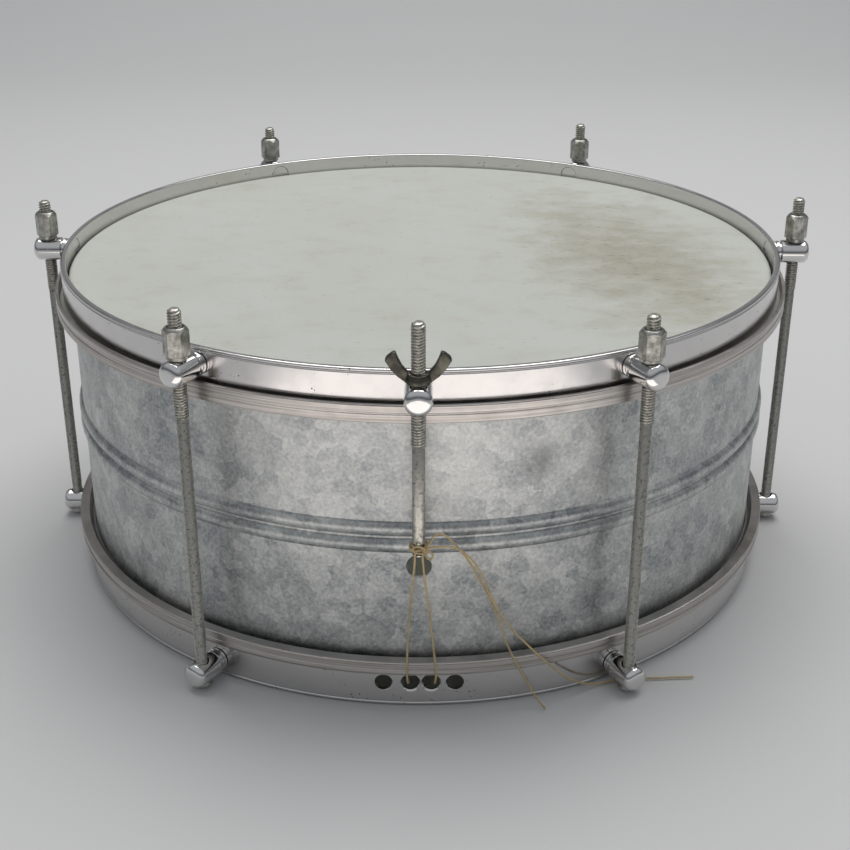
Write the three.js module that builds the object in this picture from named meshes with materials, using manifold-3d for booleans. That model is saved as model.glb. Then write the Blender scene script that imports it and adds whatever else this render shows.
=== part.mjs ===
// Snare drum with a metal shell: two tensioned heads, two counterhoops, six tension rods between
// round posts, and a snare cord drawn tight by a threaded rod and a wing nut at the front.
// Millimetres, +Z up, floor at z = 0, front (wing nut side) towards -Y.

import * as THREE from 'three';
import { mergeVertices } from 'three/addons/utils/BufferGeometryUtils.js';
import Module from 'manifold-3d';

const wasm = await Module();
wasm.setup();

// ---------------------------------------------------------------- driving dimensions

const CLEAR = 0.3;                   // gap between pieces that bear on each other

const SHELL_RADIUS = 177.8;          // outside of the cylinder, a 14 in drum
const SHELL_HEIGHT = 140.9;          // bearing edge to bearing edge
const SHELL_WALL = 1.2;
const BEARING_EDGE = 2.0;            // rounding where the wall turns in
const FLANGE_WIDTH = 8;              // inturned flange behind each bearing edge
const FLANGE_DROP = 5;               // how far the flange falls away from the head
const RIB_HEIGHT = 1.9;              // two pressed ribs round the middle
const RIB_WIDTH = 7.1;
const RIB_GAP = 0.9;                 // plain wall between the ribs
const VENT_RADIUS = 5.35;
const VENT_BELOW_RIBS = 6.55;        // vent's centre below the lower rib

const FILM = 0.3;                    // drumhead film
const BATTER_RECESS = 7.5;           // playing rim above the batter film
const SNARE_RECESS = 12.3;           // floor rim below the snare-side film

const HOOP_CLEARANCE = 0.6;          // film collar to counterhoop
const HOOP_WALL = 2.7;
const HOOP_ROUNDING = 0.8;           // rim edges
const BATTER_HOOP_HEIGHT = 18.1;
const SNARE_HOOP_HEIGHT = 20.9;

const FLESH_GAP = 2.0;               // counterhoop to the skirt of the flesh hoop's channel
const FLESH_SKIRT = 1.8;
const FLESH_BASE = 3.0;
const FLESH_INSIDE = 0.9;            // film collar to the flesh hoop's inside
const FLESH_BEVEL = 1.5;
const BATTER_FLESH_HEIGHT = 8.0;
const SNARE_FLESH_HEIGHT = 6.6;

const ROD_STANDOFF = 11.8;           // counterhoop to rod axis
const ROD_ANGLES = [-30.7, -90.7, -150.7, 149.3, 89.3, 29.3];  // degrees from the vent
const ROD_STANDOUT = [7.7, 5.6, 6.4, 9.1, 8.3, 6.0];         // rod above its own nut
const ROD_RADIUS = 2.65;
const THREAD_RADIUS = 2.95;
const THREAD_LENGTH = 48;            // from the rod's upper end
const ROD_FLOOR_GAP = 1.2;
const ROD_HEAD_ROOM = 1.9;           // under the lower posts
const ROD_HEAD_CLEARANCE = 0.6;      // rod's head inside the post's countersink

const POST_RADIUS = 5.9;
const POST_TIP = 7.4;                // dome's tip beyond the rod axis
const POST_DOME = 2.4;
const POST_BASE_RADIUS = 5.4;
const POST_ABOVE_FLESH = 1.5;        // flesh hoop to the necks of the upper posts
const POST_BASE_LENGTH = 4.4;
const POST_HOLE_CLEARANCE = 0.5;     // thread to hole
const POST_COUNTERSINK = 1.45;       // width and depth

const SCREW_HEAD_RADIUS = 5.2;
const SCREW_HEAD_THICKNESS = 0.8;
const SCREW_RADIUS = 2.0;
const SCREW_REACH = 5.6;             // thread inside the post

const NUT_FLATS = 10.0;              // across flats
const NUT_LENGTH = 13.7;
const NUT_SEAT = 0.9;                // tapered seat below the hexagon
const NUT_SEAT_CLEARANCE = 0.4;      // wider than the post's hole
const NUT_SHOULDER = 1.6;

const SNARE_ROD_STANDOUT = 25.7;     // above the wing nut's seat
const SNARE_ROD_END = 3.0;           // below the cord's ends in the knot
const SNARE_THREAD_LENGTH = 52.8;
const WAIST_RADIUS = 1.9;            // neck in the rod's lower end that the cord is tied round
const WAIST_LENGTH = 4.9;
const WAIST_END = 1.0;               // shoulder below the neck

const WING_HUB_RADIUS = 6.2;
const WING_HUB_TOP_RADIUS = 4.9;
const WING_HUB_HEIGHT = 6.0;
const WING_HALF_WIDTH = 2.7;
const WING_THICKNESS = 2.4;
const WING_LEAN = 40;                // degrees from upright
const WING_ROOT = [3.6, 3.2];        // out, up from the hub's underside
const WING_ROOT_DEPTH = 2.0;         // wing inside the hub
const WING_LENGTH = 11.2;
const WING_TIP = 0.8;                // rounding of the wing's end

const SNARE_HOLE_RADIUS = 3.9;
const SNARE_HOLE_Z = 11.8;
const SNARE_HOLES = [-16.0, -4.0, 5.4, 16.0];                // sideways from the centre line
const CORD_RADIUS = 0.6;
const KNOT_WALL = 1.9;

const RING_SIDES = 48;               // one count, so that every ring's corners line up
const ROUND_SIDES = 12;
const HOLE_SIDES = 8;
const CORD_SIDES = 8;

// ---------------------------------------------------------------- sizes that follow

const filmInside = SHELL_RADIUS + CLEAR;
const filmOutside = filmInside + FILM;
const hoopInside = filmOutside + HOOP_CLEARANCE;
const hoopOutside = hoopInside + HOOP_WALL;
const skirtInside = hoopOutside + FLESH_GAP;
const fleshOutside = skirtInside + FLESH_SKIRT;

const snareFilmZ = SNARE_RECESS;
const shellBottomZ = snareFilmZ + FILM + CLEAR;
const shellTopZ = shellBottomZ + SHELL_HEIGHT;
const batterFilmZ = shellTopZ + CLEAR;
const rimZ = batterFilmZ + FILM + BATTER_RECESS;
const batterHoopZ = rimZ - BATTER_HOOP_HEIGHT;
const middleZ = (shellBottomZ + shellTopZ) / 2;

const batterSeatZ = batterHoopZ - CLEAR - FILM;
const snareSeatZ = SNARE_HOOP_HEIGHT + CLEAR + FILM;
const batterFleshTopZ = batterSeatZ - CLEAR - FLESH_BASE + BATTER_FLESH_HEIGHT;

const upperPostZ = batterFleshTopZ + POST_ABOVE_FLESH + POST_BASE_RADIUS;
const lowerPostZ = ROD_HEAD_ROOM + POST_RADIUS;
const rodCircle = hoopOutside + ROD_STANDOFF;
const postTip = rodCircle + POST_TIP;
const postStart = hoopOutside + CLEAR;
const postHole = THREAD_RADIUS + POST_HOLE_CLEARANCE;
const nutZ = upperPostZ + POST_RADIUS + CLEAR;
const nutTopZ = nutZ + NUT_LENGTH;
const boreRadius = THREAD_RADIUS + CLEAR;

// The post at the front reaches further out than the flesh hoop at the back, and the box
// of the whole drum is centred on the origin.
const axisY = (postTip - fleshOutside) / 2;

// Routes of the cord, hand-laid, from the drum's axis: x, y, z.
const TAIL_A = [
  [5.4, -194.8, 91.6], [6.3, -195.3, 93.8], [8.0, -195.4, 94.9], [10.2, -195.2, 94.4],
  [12.5, -194.8, 92.4], [15.9, -194.0, 87.9], [18.8, -193.1, 83.6], [21.8, -192.2, 78.3],
  [25.0, -191.2, 71.3], [28.6, -189.9, 63.8], [31.8, -188.6, 55.4], [34.7, -187.2, 46.4],
  [37.1, -186.1, 38.2], [39.5, -185.3, 31.4], [42.3, -184.2, 24.8], [45.5, -183.0, 17.6],
  [48.9, -182.5, 10.6], [52.4, -183.2, 4.6], [56.1, -185.4, 0.65],
];
const TAIL_B = [
  [5.0, -195.6, 88.6], [6.6, -196.3, 89.2], [9.0, -196.8, 89.5], [12.1, -196.7, 89.6],
  [15.5, -196.3, 88.6], [18.7, -195.6, 86.0], [22.1, -194.8, 82.0], [25.6, -193.8, 75.9],
  [28.4, -192.8, 68.8], [31.6, -191.5, 60.6], [36.2, -189.5, 50.4], [41.0, -187.4, 42.2],
  [46.6, -185.0, 34.6], [52.3, -182.3, 27.0], [57.6, -179.9, 20.4], [61.9, -177.9, 15.2],
  [66.0, -175.9, 10.9], [70.3, -173.4, 7.2], [74.8, -170.9, 4.0], [79.6, -168.0, 1.7],
  [84.6, -165.5, 0.75], [90.6, -163.4, 0.65], [98.4, -162.2, 0.65], [105.3, -162.0, 0.65],
  [112.0, -161.6, 0.65], [119.3, -161.1, 0.65], [126.2, -160.8, 0.65],
];
const SNARE_RUN = [
  [-1.5, -196.8, 87], [-1.7, -196.7, 82.5], [-2.5, -194.8, 72.5], [-3.4, -191.9, 60],
  [-4.5, -188.6, 44], [-5.2, -186.9, 30], [-5.4, -186.5, 22], [-5.3, -186.2, 18],
  [-5.1, -184.4, 14.2], [-4.9, -181.6, 12.2], [-4.8, -178, 11.4], [-4.8, -168, 11.3],
  [-4.6, -60, 11.3], [-4.4, 60, 11.3], [-4.2, 168, 11.3], [-4.2, 178, 11.4],
  [-4.0, 182.3, 11.4], [-1.9, 184.5, 11.3], [0.7, 185.1, 11.3], [3.3, 184.5, 11.3],
  [5.4, 182.3, 11.4], [5.6, 178, 11.4], [5.8, 168, 11.3], [6.2, 60, 11.3],
  [6.5, -60, 11.3], [6.8, -168, 11.3], [6.8, -178, 11.4], [6.9, -181.6, 12.2],
  [7.0, -184.4, 14.2], [7.3, -186.2, 18], [7.4, -186.5, 22], [6.6, -186.9, 30],
  [5.3, -188.6, 44], [3.9, -191.9, 60], [2.5, -194.8, 72.5], [1.7, -196.7, 82.5],
  [1.5, -196.8, 87],
];

// The snare rod reaches from the cord's knot up through its post and the wing nut.
const snareRodTopZ = nutZ + SNARE_ROD_STANDOUT;
const snareRodBottomZ = SNARE_RUN[0][2] - SNARE_ROD_END;
const knotZ = snareRodBottomZ + WAIST_END + CLEAR;
const knotHeight = WAIST_LENGTH - 2 * CLEAR;
const knotOutside = WAIST_RADIUS + CLEAR + KNOT_WALL;

// ---------------------------------------------------------------- materials

function finish(color, roughness, metalness = 1) {
  return new THREE.MeshStandardMaterial({ color, roughness, metalness });
}

const zinc = finish(0x9a9da0, 0.5);
const nickel = finish(0xc9c5c0, 0.22);
const aluminium = finish(0xb3a9a3, 0.38);
const chrome = finish(0xcfd0d2, 0.15);
const steel = finish(0x8b887f, 0.45);
const nutSteel = finish(0xa9a79b, 0.35);
const bronze = finish(0x5f5d50, 0.5);
const film = finish(0xc3c6c0, 0.6, 0);
const clearFilm = finish(0xd8d9d6, 0.4, 0);
const twine = finish(0xb09a72, 0.8, 0);

// ---------------------------------------------------------------- geometry helpers

// Positions only, corners shared, and the flat triangles at a pole left out.
function bare(geometry) {
  const plain = new THREE.BufferGeometry();
  plain.setAttribute('position', geometry.getAttribute('position').clone());
  if (geometry.index) {
    plain.setIndex(geometry.index.clone());
  }
  const merged = mergeVertices(plain, 1e-4);
  const corners = [];
  const index = merged.index.array;
  for (let i = 0; i < index.length; i += 3) {
    const [a, b, c] = index.slice(i, i + 3);
    if (a !== b && b !== c && c !== a) {
      corners.push(a, b, c);
    }
  }
  merged.setIndex(corners);
  return facingOut(merged);
}

function facingOut(geometry) {
  const at = geometry.getAttribute('position');
  const index = geometry.index.array;
  const [a, b, c] = [new THREE.Vector3(), new THREE.Vector3(), new THREE.Vector3()];
  let volume = 0;
  for (let i = 0; i < index.length; i += 3) {
    a.fromBufferAttribute(at, index[i]);
    b.fromBufferAttribute(at, index[i + 1]);
    c.fromBufferAttribute(at, index[i + 2]);
    volume += a.dot(b.cross(c));
  }
  if (volume < 0) {
    geometry.setIndex(Array.from(index).reverse());
  }
  return geometry;
}

function solid(geometry) {
  const closed = bare(geometry);
  return new wasm.Manifold(new wasm.Mesh({
    numProp: 3,
    vertProperties: new Float32Array(closed.getAttribute('position').array),
    triVerts: new Uint32Array(closed.index.array),
  }));
}

function geometryOf(manifold) {
  const mesh = manifold.getMesh();
  const geometry = new THREE.BufferGeometry();
  geometry.setAttribute('position', new THREE.BufferAttribute(mesh.vertProperties.slice(), 3));
  geometry.setIndex(Array.from(mesh.triVerts));
  return geometry;
}

function cut(geometry, ...tools) {
  return geometryOf(tools.reduce((body, tool) => body.subtract(solid(tool)), solid(geometry)));
}

function join(...geometries) {
  return geometryOf(geometries.map(solid).reduce((body, other) => body.add(other)));
}

function common(geometry, other) {
  return geometryOf(solid(geometry).intersect(solid(other)));
}

// A profile of [radius, height] points turned round +Z.
function turned(profile, sides = ROUND_SIDES) {
  const points = profile.map(([radius, height]) => new THREE.Vector2(radius, height));
  return new THREE.LatheGeometry(points, sides).rotateX(Math.PI / 2);
}

// A closed profile: a ring round the drum.
function ring(profile) {
  return turned([...profile, profile[0]], RING_SIDES);
}

// A profile of [radius, distance from the drum's axis], turned round the axis of a front post.
function turnedOutwards(profile, sides = ROUND_SIDES) {
  const points = profile.map(([radius, distance]) => new THREE.Vector2(radius, distance));
  return new THREE.LatheGeometry(points, sides).rotateX(Math.PI);
}

function upright(radius, low, high, sides = ROUND_SIDES) {
  return turned([[0, low], [radius, low], [radius, high], [0, high]], sides);
}

function outwards(radius, near, far, sides = ROUND_SIDES) {
  return turnedOutwards([[0, near], [radius, near], [radius, far], [0, far]], sides);
}

// The same outline moved sideways by a distance, its corners mitred.
function offset(points, distance) {
  return points.map((point, i) => {
    const before = points[Math.max(i - 1, 0)];
    const after = points[Math.min(i + 1, points.length - 1)];
    const normals = [[before, point], [point, after]]
      .filter(([from, to]) => from !== to)
      .map(([from, to]) => {
        const length = Math.hypot(to[0] - from[0], to[1] - from[1]);
        return [-(to[1] - from[1]) / length, (to[0] - from[0]) / length];
      });
    const first = normals[0];
    const last = normals[normals.length - 1];
    const scale = distance / (1 + first[0] * last[0] + first[1] * last[1]);
    return [point[0] + (first[0] + last[0]) * scale, point[1] + (first[1] + last[1]) * scale];
  });
}

// A smooth curve through a list of points that steps evenly from point to point, so that tight
// bends with close points get short steps and straight runs get long ones.
class Route extends THREE.CatmullRomCurve3 {
  getUtoTmapping(u) {
    return u;
  }
}

function cord(points, steps) {
  const route = new Route(points.map((point) => new THREE.Vector3(...point)), false, 'centripetal');
  const section = new THREE.Shape();
  for (let i = 0; i < CORD_SIDES; i += 1) {
    const angle = 2 * Math.PI * i / CORD_SIDES;
    const corner = [CORD_RADIUS * Math.cos(angle), CORD_RADIUS * Math.sin(angle)];
    if (i === 0) {
      section.moveTo(...corner);
    } else {
      section.lineTo(...corner);
    }
  }
  section.closePath();
  return new THREE.ExtrudeGeometry(section, { steps, extrudePath: route });
}

// ---------------------------------------------------------------- nodes

const drum = new THREE.Group();
drum.position.y = axisY;

function addNode(name, geometry, material, parent = drum) {
  const mesh = new THREE.Mesh(bare(geometry), material);
  mesh.name = name;
  parent.add(mesh);
  return mesh;
}

// A place round the drum: what is built at the front of it is turned to its own angle.
function station(degreesFromFront) {
  const group = new THREE.Group();
  group.rotation.z = THREE.MathUtils.degToRad(degreesFromFront);
  drum.add(group);
  return group;
}

function atAngle(geometry, degreesFromFront) {
  return geometry.clone().rotateZ(THREE.MathUtils.degToRad(degreesFromFront));
}

// ---------------------------------------------------------------- shell

function rib(centreZ) {
  const half = RIB_WIDTH / 2;
  return [
    [SHELL_RADIUS, centreZ - half],
    [SHELL_RADIUS + RIB_HEIGHT, centreZ - half * 0.45],
    [SHELL_RADIUS + RIB_HEIGHT, centreZ + half * 0.45],
    [SHELL_RADIUS, centreZ + half],
  ];
}

function shell() {
  const crest = SHELL_RADIUS - BEARING_EDGE;
  const ribOffset = (RIB_WIDTH + RIB_GAP) / 2;
  const outside = [
    [crest - FLANGE_WIDTH, shellBottomZ + FLANGE_DROP],
    [crest, shellBottomZ],
    [SHELL_RADIUS, shellBottomZ + BEARING_EDGE],
    ...rib(middleZ - ribOffset),
    ...rib(middleZ + ribOffset),
    [SHELL_RADIUS, shellTopZ - BEARING_EDGE],
    [crest, shellTopZ],
    [crest - FLANGE_WIDTH, shellTopZ - FLANGE_DROP],
  ];
  const inside = offset(outside, SHELL_WALL).reverse();
  const vent = outwards(VENT_RADIUS, SHELL_RADIUS - 10, SHELL_RADIUS + 10)
    .translate(0, 0, middleZ - RIB_GAP / 2 - RIB_WIDTH - VENT_BELOW_RIBS);
  return cut(ring([...outside, ...inside]), vent);
}

// ---------------------------------------------------------------- heads and their flesh hoops

// Heights here run from the film's plane towards the middle of the shell, so that both heads
// come from one outline; `side` is -1 where that is downwards.
function head(planeZ, seatZ, side) {
  const at = (height) => planeZ + side * height;
  const seat = Math.abs(seatZ - planeZ);
  return turned([
    [0, at(0)],
    [filmInside, at(0)],
    [filmInside, at(seat)],
    [skirtInside - CLEAR, at(seat)],
    [skirtInside - CLEAR, at(seat - FILM)],
    [filmOutside, at(seat - FILM)],
    [filmOutside, at(-FILM)],
    [0, at(-FILM)],
  ], RING_SIDES);
}

function fleshHoop(baseZ, height, side) {
  const at = (distance) => baseZ + side * distance;
  const inside = filmOutside + FLESH_INSIDE;
  return ring([
    [inside, at(0)],
    [skirtInside, at(0)],
    [skirtInside, at(FLESH_BASE - height)],
    [fleshOutside, at(FLESH_BASE - height)],
    [fleshOutside, at(FLESH_BASE)],
    [inside + FLESH_BEVEL, at(FLESH_BASE)],
    [inside, at(FLESH_BASE - FLESH_BEVEL)],
  ]);
}

// ---------------------------------------------------------------- counterhoops

function screwRecess(z) {
  const floor = hoopInside + 0.1 + SCREW_HEAD_THICKNESS + CLEAR;
  return turnedOutwards([
    [0, hoopInside - 3],
    [SCREW_HEAD_RADIUS + CLEAR, hoopInside - 3],
    [SCREW_HEAD_RADIUS + CLEAR, floor],
    [SCREW_RADIUS + CLEAR, floor],
    [SCREW_RADIUS + CLEAR, hoopOutside + 3],
    [0, hoopOutside + 3],
  ], HOLE_SIDES).translate(0, 0, z);
}

// `rim` is the edge that faces away from the shell and `end` the one that presses on the head.
function counterhoop(rim, end, postZ, angles, holes) {
  const inward = Math.sign(end - rim);
  const profile = [
    [hoopInside, end],
    [hoopOutside, end],
    [hoopOutside, rim + inward * HOOP_ROUNDING],
    [hoopOutside - HOOP_ROUNDING, rim],
    [hoopInside + HOOP_ROUNDING, rim],
    [hoopInside, rim + inward * HOOP_ROUNDING],
  ];
  const recesses = angles.map((angle) => atAngle(screwRecess(postZ), angle));
  return cut(ring(profile), ...recesses, ...holes);
}

function snareHoles() {
  return [0, 180].flatMap((side) => SNARE_HOLES.map((sideways) => {
    const hole = outwards(SNARE_HOLE_RADIUS, hoopInside - 6, hoopOutside + 6);
    hole.translate(side === 0 ? sideways : -sideways, 0, SNARE_HOLE_Z);
    return atAngle(hole, side);
  }));
}

// ---------------------------------------------------------------- posts, screws, rods and nuts

// A round post that stands out of the hoop's wall. The rod goes through it, and it is
// countersunk on the side that the nut or the rod's head pulls against.
function post(z, pull) {
  const domeStart = postTip - POST_DOME;
  const body = turnedOutwards([
    [0, postStart],
    [POST_BASE_RADIUS, postStart],
    [POST_BASE_RADIUS, postStart + POST_BASE_LENGTH],
    [POST_RADIUS, postStart + POST_BASE_LENGTH],
    [POST_RADIUS, domeStart],
    [POST_RADIUS * 0.7, domeStart + POST_DOME * 0.75],
    [0, postTip],
  ]);
  const face = pull * POST_RADIUS;
  const rodHole = turned([
    [0, -face * 1.2],
    [postHole, -face * 1.2],
    [postHole, face - pull * POST_COUNTERSINK],
    [postHole + POST_COUNTERSINK + CLEAR, face + pull * CLEAR],
    [0, face + pull * CLEAR],
  ]).translate(0, -rodCircle, 0);
  const screwBore = outwards(SCREW_RADIUS + CLEAR, postStart - 1, postStart + SCREW_REACH + CLEAR,
    HOLE_SIDES);
  return cut(body, rodHole, screwBore).translate(0, 0, z);
}

function postScrew(z) {
  const headFace = hoopInside + 0.1;
  return turnedOutwards([
    [0, headFace],
    [SCREW_HEAD_RADIUS, headFace],
    [SCREW_HEAD_RADIUS, headFace + SCREW_HEAD_THICKNESS],
    [SCREW_RADIUS, headFace + SCREW_HEAD_THICKNESS],
    [SCREW_RADIUS, postStart + SCREW_REACH],
    [0, postStart + SCREW_REACH],
  ], HOLE_SIDES).translate(0, 0, z);
}

// The cone under the lower post keeps the rod from pulling up through it.
function tensionRod(topZ) {
  const headZ = lowerPostZ - POST_RADIUS;
  const headRadius = postHole + POST_COUNTERSINK - ROD_HEAD_CLEARANCE;
  const coneTop = headZ + POST_COUNTERSINK + CLEAR;
  return turned([
    [0, ROD_FLOOR_GAP],
    [ROD_RADIUS - 0.2, ROD_FLOOR_GAP],
    [ROD_RADIUS - 0.2, headZ - CLEAR],
    [headRadius, headZ - CLEAR],
    [headRadius, headZ + CLEAR],
    [ROD_RADIUS, coneTop],
    [ROD_RADIUS, topZ - THREAD_LENGTH],
    [THREAD_RADIUS, topZ - THREAD_LENGTH + CLEAR],
    [THREAD_RADIUS, topZ - 1],
    [THREAD_RADIUS - 0.9, topZ],
    [0, topZ],
  ]).translate(0, -rodCircle, 0);
}

function tensionNut() {
  const corner = NUT_FLATS / Math.sqrt(3);
  const seat = postHole + NUT_SEAT_CLEARANCE;
  const hexagon = turned([[0, -2], [corner, -2], [corner, NUT_LENGTH], [0, NUT_LENGTH]], 6);
  const envelope = turned([
    [0, -NUT_SEAT],
    [seat, -NUT_SEAT],
    [seat + NUT_SEAT, 0],
    [corner + 0.1, 0],
    [corner + 0.1, NUT_LENGTH - NUT_SHOULDER],
    [NUT_FLATS / 2 - 0.4, NUT_LENGTH],
    [0, NUT_LENGTH],
  ]);
  const bore = upright(boreRadius, -NUT_SEAT - 1, NUT_LENGTH + 1);
  return cut(common(hexagon, envelope), bore).translate(0, -rodCircle, nutZ);
}

function snareRod() {
  const neckLow = snareRodBottomZ + WAIST_END;
  const neckHigh = neckLow + WAIST_LENGTH;
  return turned([
    [0, snareRodBottomZ],
    [ROD_RADIUS, snareRodBottomZ],
    [ROD_RADIUS, neckLow],
    [WAIST_RADIUS, neckLow],
    [WAIST_RADIUS, neckHigh],
    [ROD_RADIUS, neckHigh],
    [ROD_RADIUS, snareRodTopZ - SNARE_THREAD_LENGTH],
    [THREAD_RADIUS, snareRodTopZ - SNARE_THREAD_LENGTH + CLEAR],
    [THREAD_RADIUS, snareRodTopZ - 1],
    [THREAD_RADIUS - 0.9, snareRodTopZ],
    [0, snareRodTopZ],
  ]).translate(0, -rodCircle, 0);
}

function wing() {
  const lean = THREE.MathUtils.degToRad(WING_LEAN);
  const along = new THREE.Vector2(Math.sin(lean), Math.cos(lean));
  const across = new THREE.Vector2(Math.cos(lean), -Math.sin(lean));
  const corner = (run, side) => new THREE.Vector2(...WING_ROOT)
    .addScaledVector(along, run)
    .addScaledVector(across, side * WING_HALF_WIDTH);
  const outline = new THREE.Shape([
    corner(-WING_ROOT_DEPTH, -1),
    corner(-WING_ROOT_DEPTH, 1),
    corner(WING_LENGTH, 1),
    corner(WING_LENGTH + WING_TIP, 0.7),
    corner(WING_LENGTH + WING_TIP, -0.7),
    corner(WING_LENGTH, -1),
  ]);
  return new THREE.ExtrudeGeometry(outline, { depth: WING_THICKNESS, bevelEnabled: false })
    .translate(0, 0, -WING_THICKNESS / 2)
    .rotateX(Math.PI / 2);
}

function wingNut() {
  const hub = turned([
    [0, 0],
    [WING_HUB_RADIUS, 0],
    [WING_HUB_RADIUS, 1.4],
    [WING_HUB_TOP_RADIUS, WING_HUB_HEIGHT],
    [0, WING_HUB_HEIGHT],
  ], 16);
  const body = join(hub, wing(), wing().rotateZ(Math.PI));
  const bore = upright(boreRadius, -1, WING_LENGTH + WING_HUB_HEIGHT);
  return cut(body, bore).translate(0, -rodCircle, nutZ);
}

// ---------------------------------------------------------------- snare cord

// Cord wound round the rod's neck, with both strands leaving it downwards.
function snareCord() {
  const inside = WAIST_RADIUS + CLEAR;
  const windings = turned([
    [inside, knotZ],
    [knotOutside, knotZ],
    [knotOutside, knotZ + knotHeight],
    [inside, knotZ + knotHeight],
    [inside, knotZ],
  ]).translate(0, -rodCircle, 0);
  return join(windings, cord(SNARE_RUN, 66));
}

// ---------------------------------------------------------------- the drum

addNode('shell', shell(), zinc);
addNode('batter_head', head(batterFilmZ, batterSeatZ, -1), film);
addNode('snare_head', head(snareFilmZ + FILM, snareSeatZ, 1), clearFilm);
addNode('batter_flesh_hoop', fleshHoop(batterSeatZ - CLEAR, BATTER_FLESH_HEIGHT, -1), aluminium);
addNode('snare_flesh_hoop', fleshHoop(snareSeatZ + CLEAR, SNARE_FLESH_HEIGHT, 1), aluminium);
addNode('batter_counterhoop', counterhoop(rimZ, batterHoopZ, upperPostZ, [0, ...ROD_ANGLES], []), nickel);
addNode('snare_counterhoop',
  counterhoop(0, SNARE_HOOP_HEIGHT, lowerPostZ, ROD_ANGLES, snareHoles()), nickel);

const upperPost = post(upperPostZ, 1);
const lowerPost = post(lowerPostZ, -1);
const upperScrew = postScrew(upperPostZ);
const lowerScrew = postScrew(lowerPostZ);
const nut = tensionNut();

ROD_ANGLES.forEach((angle, i) => {
  const place = station(angle);
  const number = i + 1;
  addNode(`batter_post_${number}`, upperPost, chrome, place);
  addNode(`batter_post_screw_${number}`, upperScrew, nickel, place);
  addNode(`snare_side_post_${number}`, lowerPost, chrome, place);
  addNode(`snare_side_post_screw_${number}`, lowerScrew, nickel, place);
  addNode(`tension_rod_${number}`, tensionRod(nutTopZ + ROD_STANDOUT[i]), steel, place);
  addNode(`tension_nut_${number}`, nut, nutSteel, place);
});

addNode('snare_rod_post', upperPost, chrome);
addNode('snare_rod_post_screw', upperScrew, nickel);
addNode('snare_rod', snareRod(), steel);
addNode('wing_nut', wingNut(), bronze);
addNode('snare_cord', snareCord(), twine);
addNode('cord_tail_a', cord(TAIL_A, 36), twine);
addNode('cord_tail_b', cord(TAIL_B, 46), twine);

const object = new THREE.Group();
object.add(drum);

export default object;
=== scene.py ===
"""Snare drum: the fine surfaces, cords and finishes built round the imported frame.

Metres, +Z up, front (the wing nut's side) towards -Y.
"""

import math

import bmesh
import bpy
from mathutils import Euler, Matrix, Vector


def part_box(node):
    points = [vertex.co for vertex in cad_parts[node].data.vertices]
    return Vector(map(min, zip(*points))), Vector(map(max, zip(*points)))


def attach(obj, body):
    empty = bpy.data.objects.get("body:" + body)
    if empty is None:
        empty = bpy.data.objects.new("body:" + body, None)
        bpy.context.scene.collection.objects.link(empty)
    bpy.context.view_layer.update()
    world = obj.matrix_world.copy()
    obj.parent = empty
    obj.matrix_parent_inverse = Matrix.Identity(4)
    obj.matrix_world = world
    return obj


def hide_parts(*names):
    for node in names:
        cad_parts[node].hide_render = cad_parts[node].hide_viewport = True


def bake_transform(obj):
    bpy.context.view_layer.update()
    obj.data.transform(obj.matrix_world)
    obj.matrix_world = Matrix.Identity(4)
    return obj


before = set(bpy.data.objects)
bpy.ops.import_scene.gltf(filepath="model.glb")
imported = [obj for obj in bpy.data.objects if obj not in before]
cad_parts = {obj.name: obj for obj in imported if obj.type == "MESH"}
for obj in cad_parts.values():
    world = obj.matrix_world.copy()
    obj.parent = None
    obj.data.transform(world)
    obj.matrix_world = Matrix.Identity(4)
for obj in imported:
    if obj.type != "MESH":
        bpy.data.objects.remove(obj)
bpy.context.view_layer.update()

bl_info = {
    "name": "Snare drum",
    "version": (1, 0, 0),
    "blender": (4, 5, 0),
    "location": "3D View > Sidebar > Drum",
    "description": "Builds a metal snare drum round its packed frame, piece by piece",
    "category": "Object",
}

MM = 0.001
GAP = 0.3 * MM             # between pieces that bear on each other
RIB_HEIGHT = 1.9           # millimetres that the shell's ribs stand out
FLESH_SHELF = 3.0 * MM     # thickness of a flesh hoop where the counterhoop bears on it
ROUND_STEPS = 256          # sides of the large rings


# ---------------------------------------------------------------- places in the frame


def middle(node):
    low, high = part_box(node)
    return (low + high) / 2


def reach(node):
    """How far a round node stands out from the middle of its own box."""
    low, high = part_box(node)
    return (high.x - low.x) / 2


def floor_and_top(node):
    low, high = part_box(node)
    return low.z, high.z


STATIONS = range(1, 7)
AXIS = middle("shell")
SHELL_LOW, SHELL_HIGH = floor_and_top("shell")
HOOP_OUTSIDE = reach("batter_counterhoop")
FLESH_OUTSIDE = reach("batter_flesh_hoop")
UPPER_POST_Z = middle("batter_post_1").z
LOWER_POST_Z = middle("snare_side_post_1").z
SNARE_ROD = middle("snare_rod")
SHELL_RADIUS = reach("shell") - RIB_HEIGHT * MM
ROD_CIRCLE = AXIS.y - SNARE_ROD.y
POST_TIP = AXIS.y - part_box("snare_rod_post")[0].y
SIXTH_ROD = middle("tension_rod_6")
FIRST_STATION = math.atan2(SIXTH_ROD.x - AXIS.x, AXIS.y - SIXTH_ROD.y)


def on_axis(point):
    """A point given in millimetres from the drum's axis, in the frame's metres."""
    return Vector((point[0] * MM + AXIS.x, point[1] * MM + AXIS.y, point[2] * MM))


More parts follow.
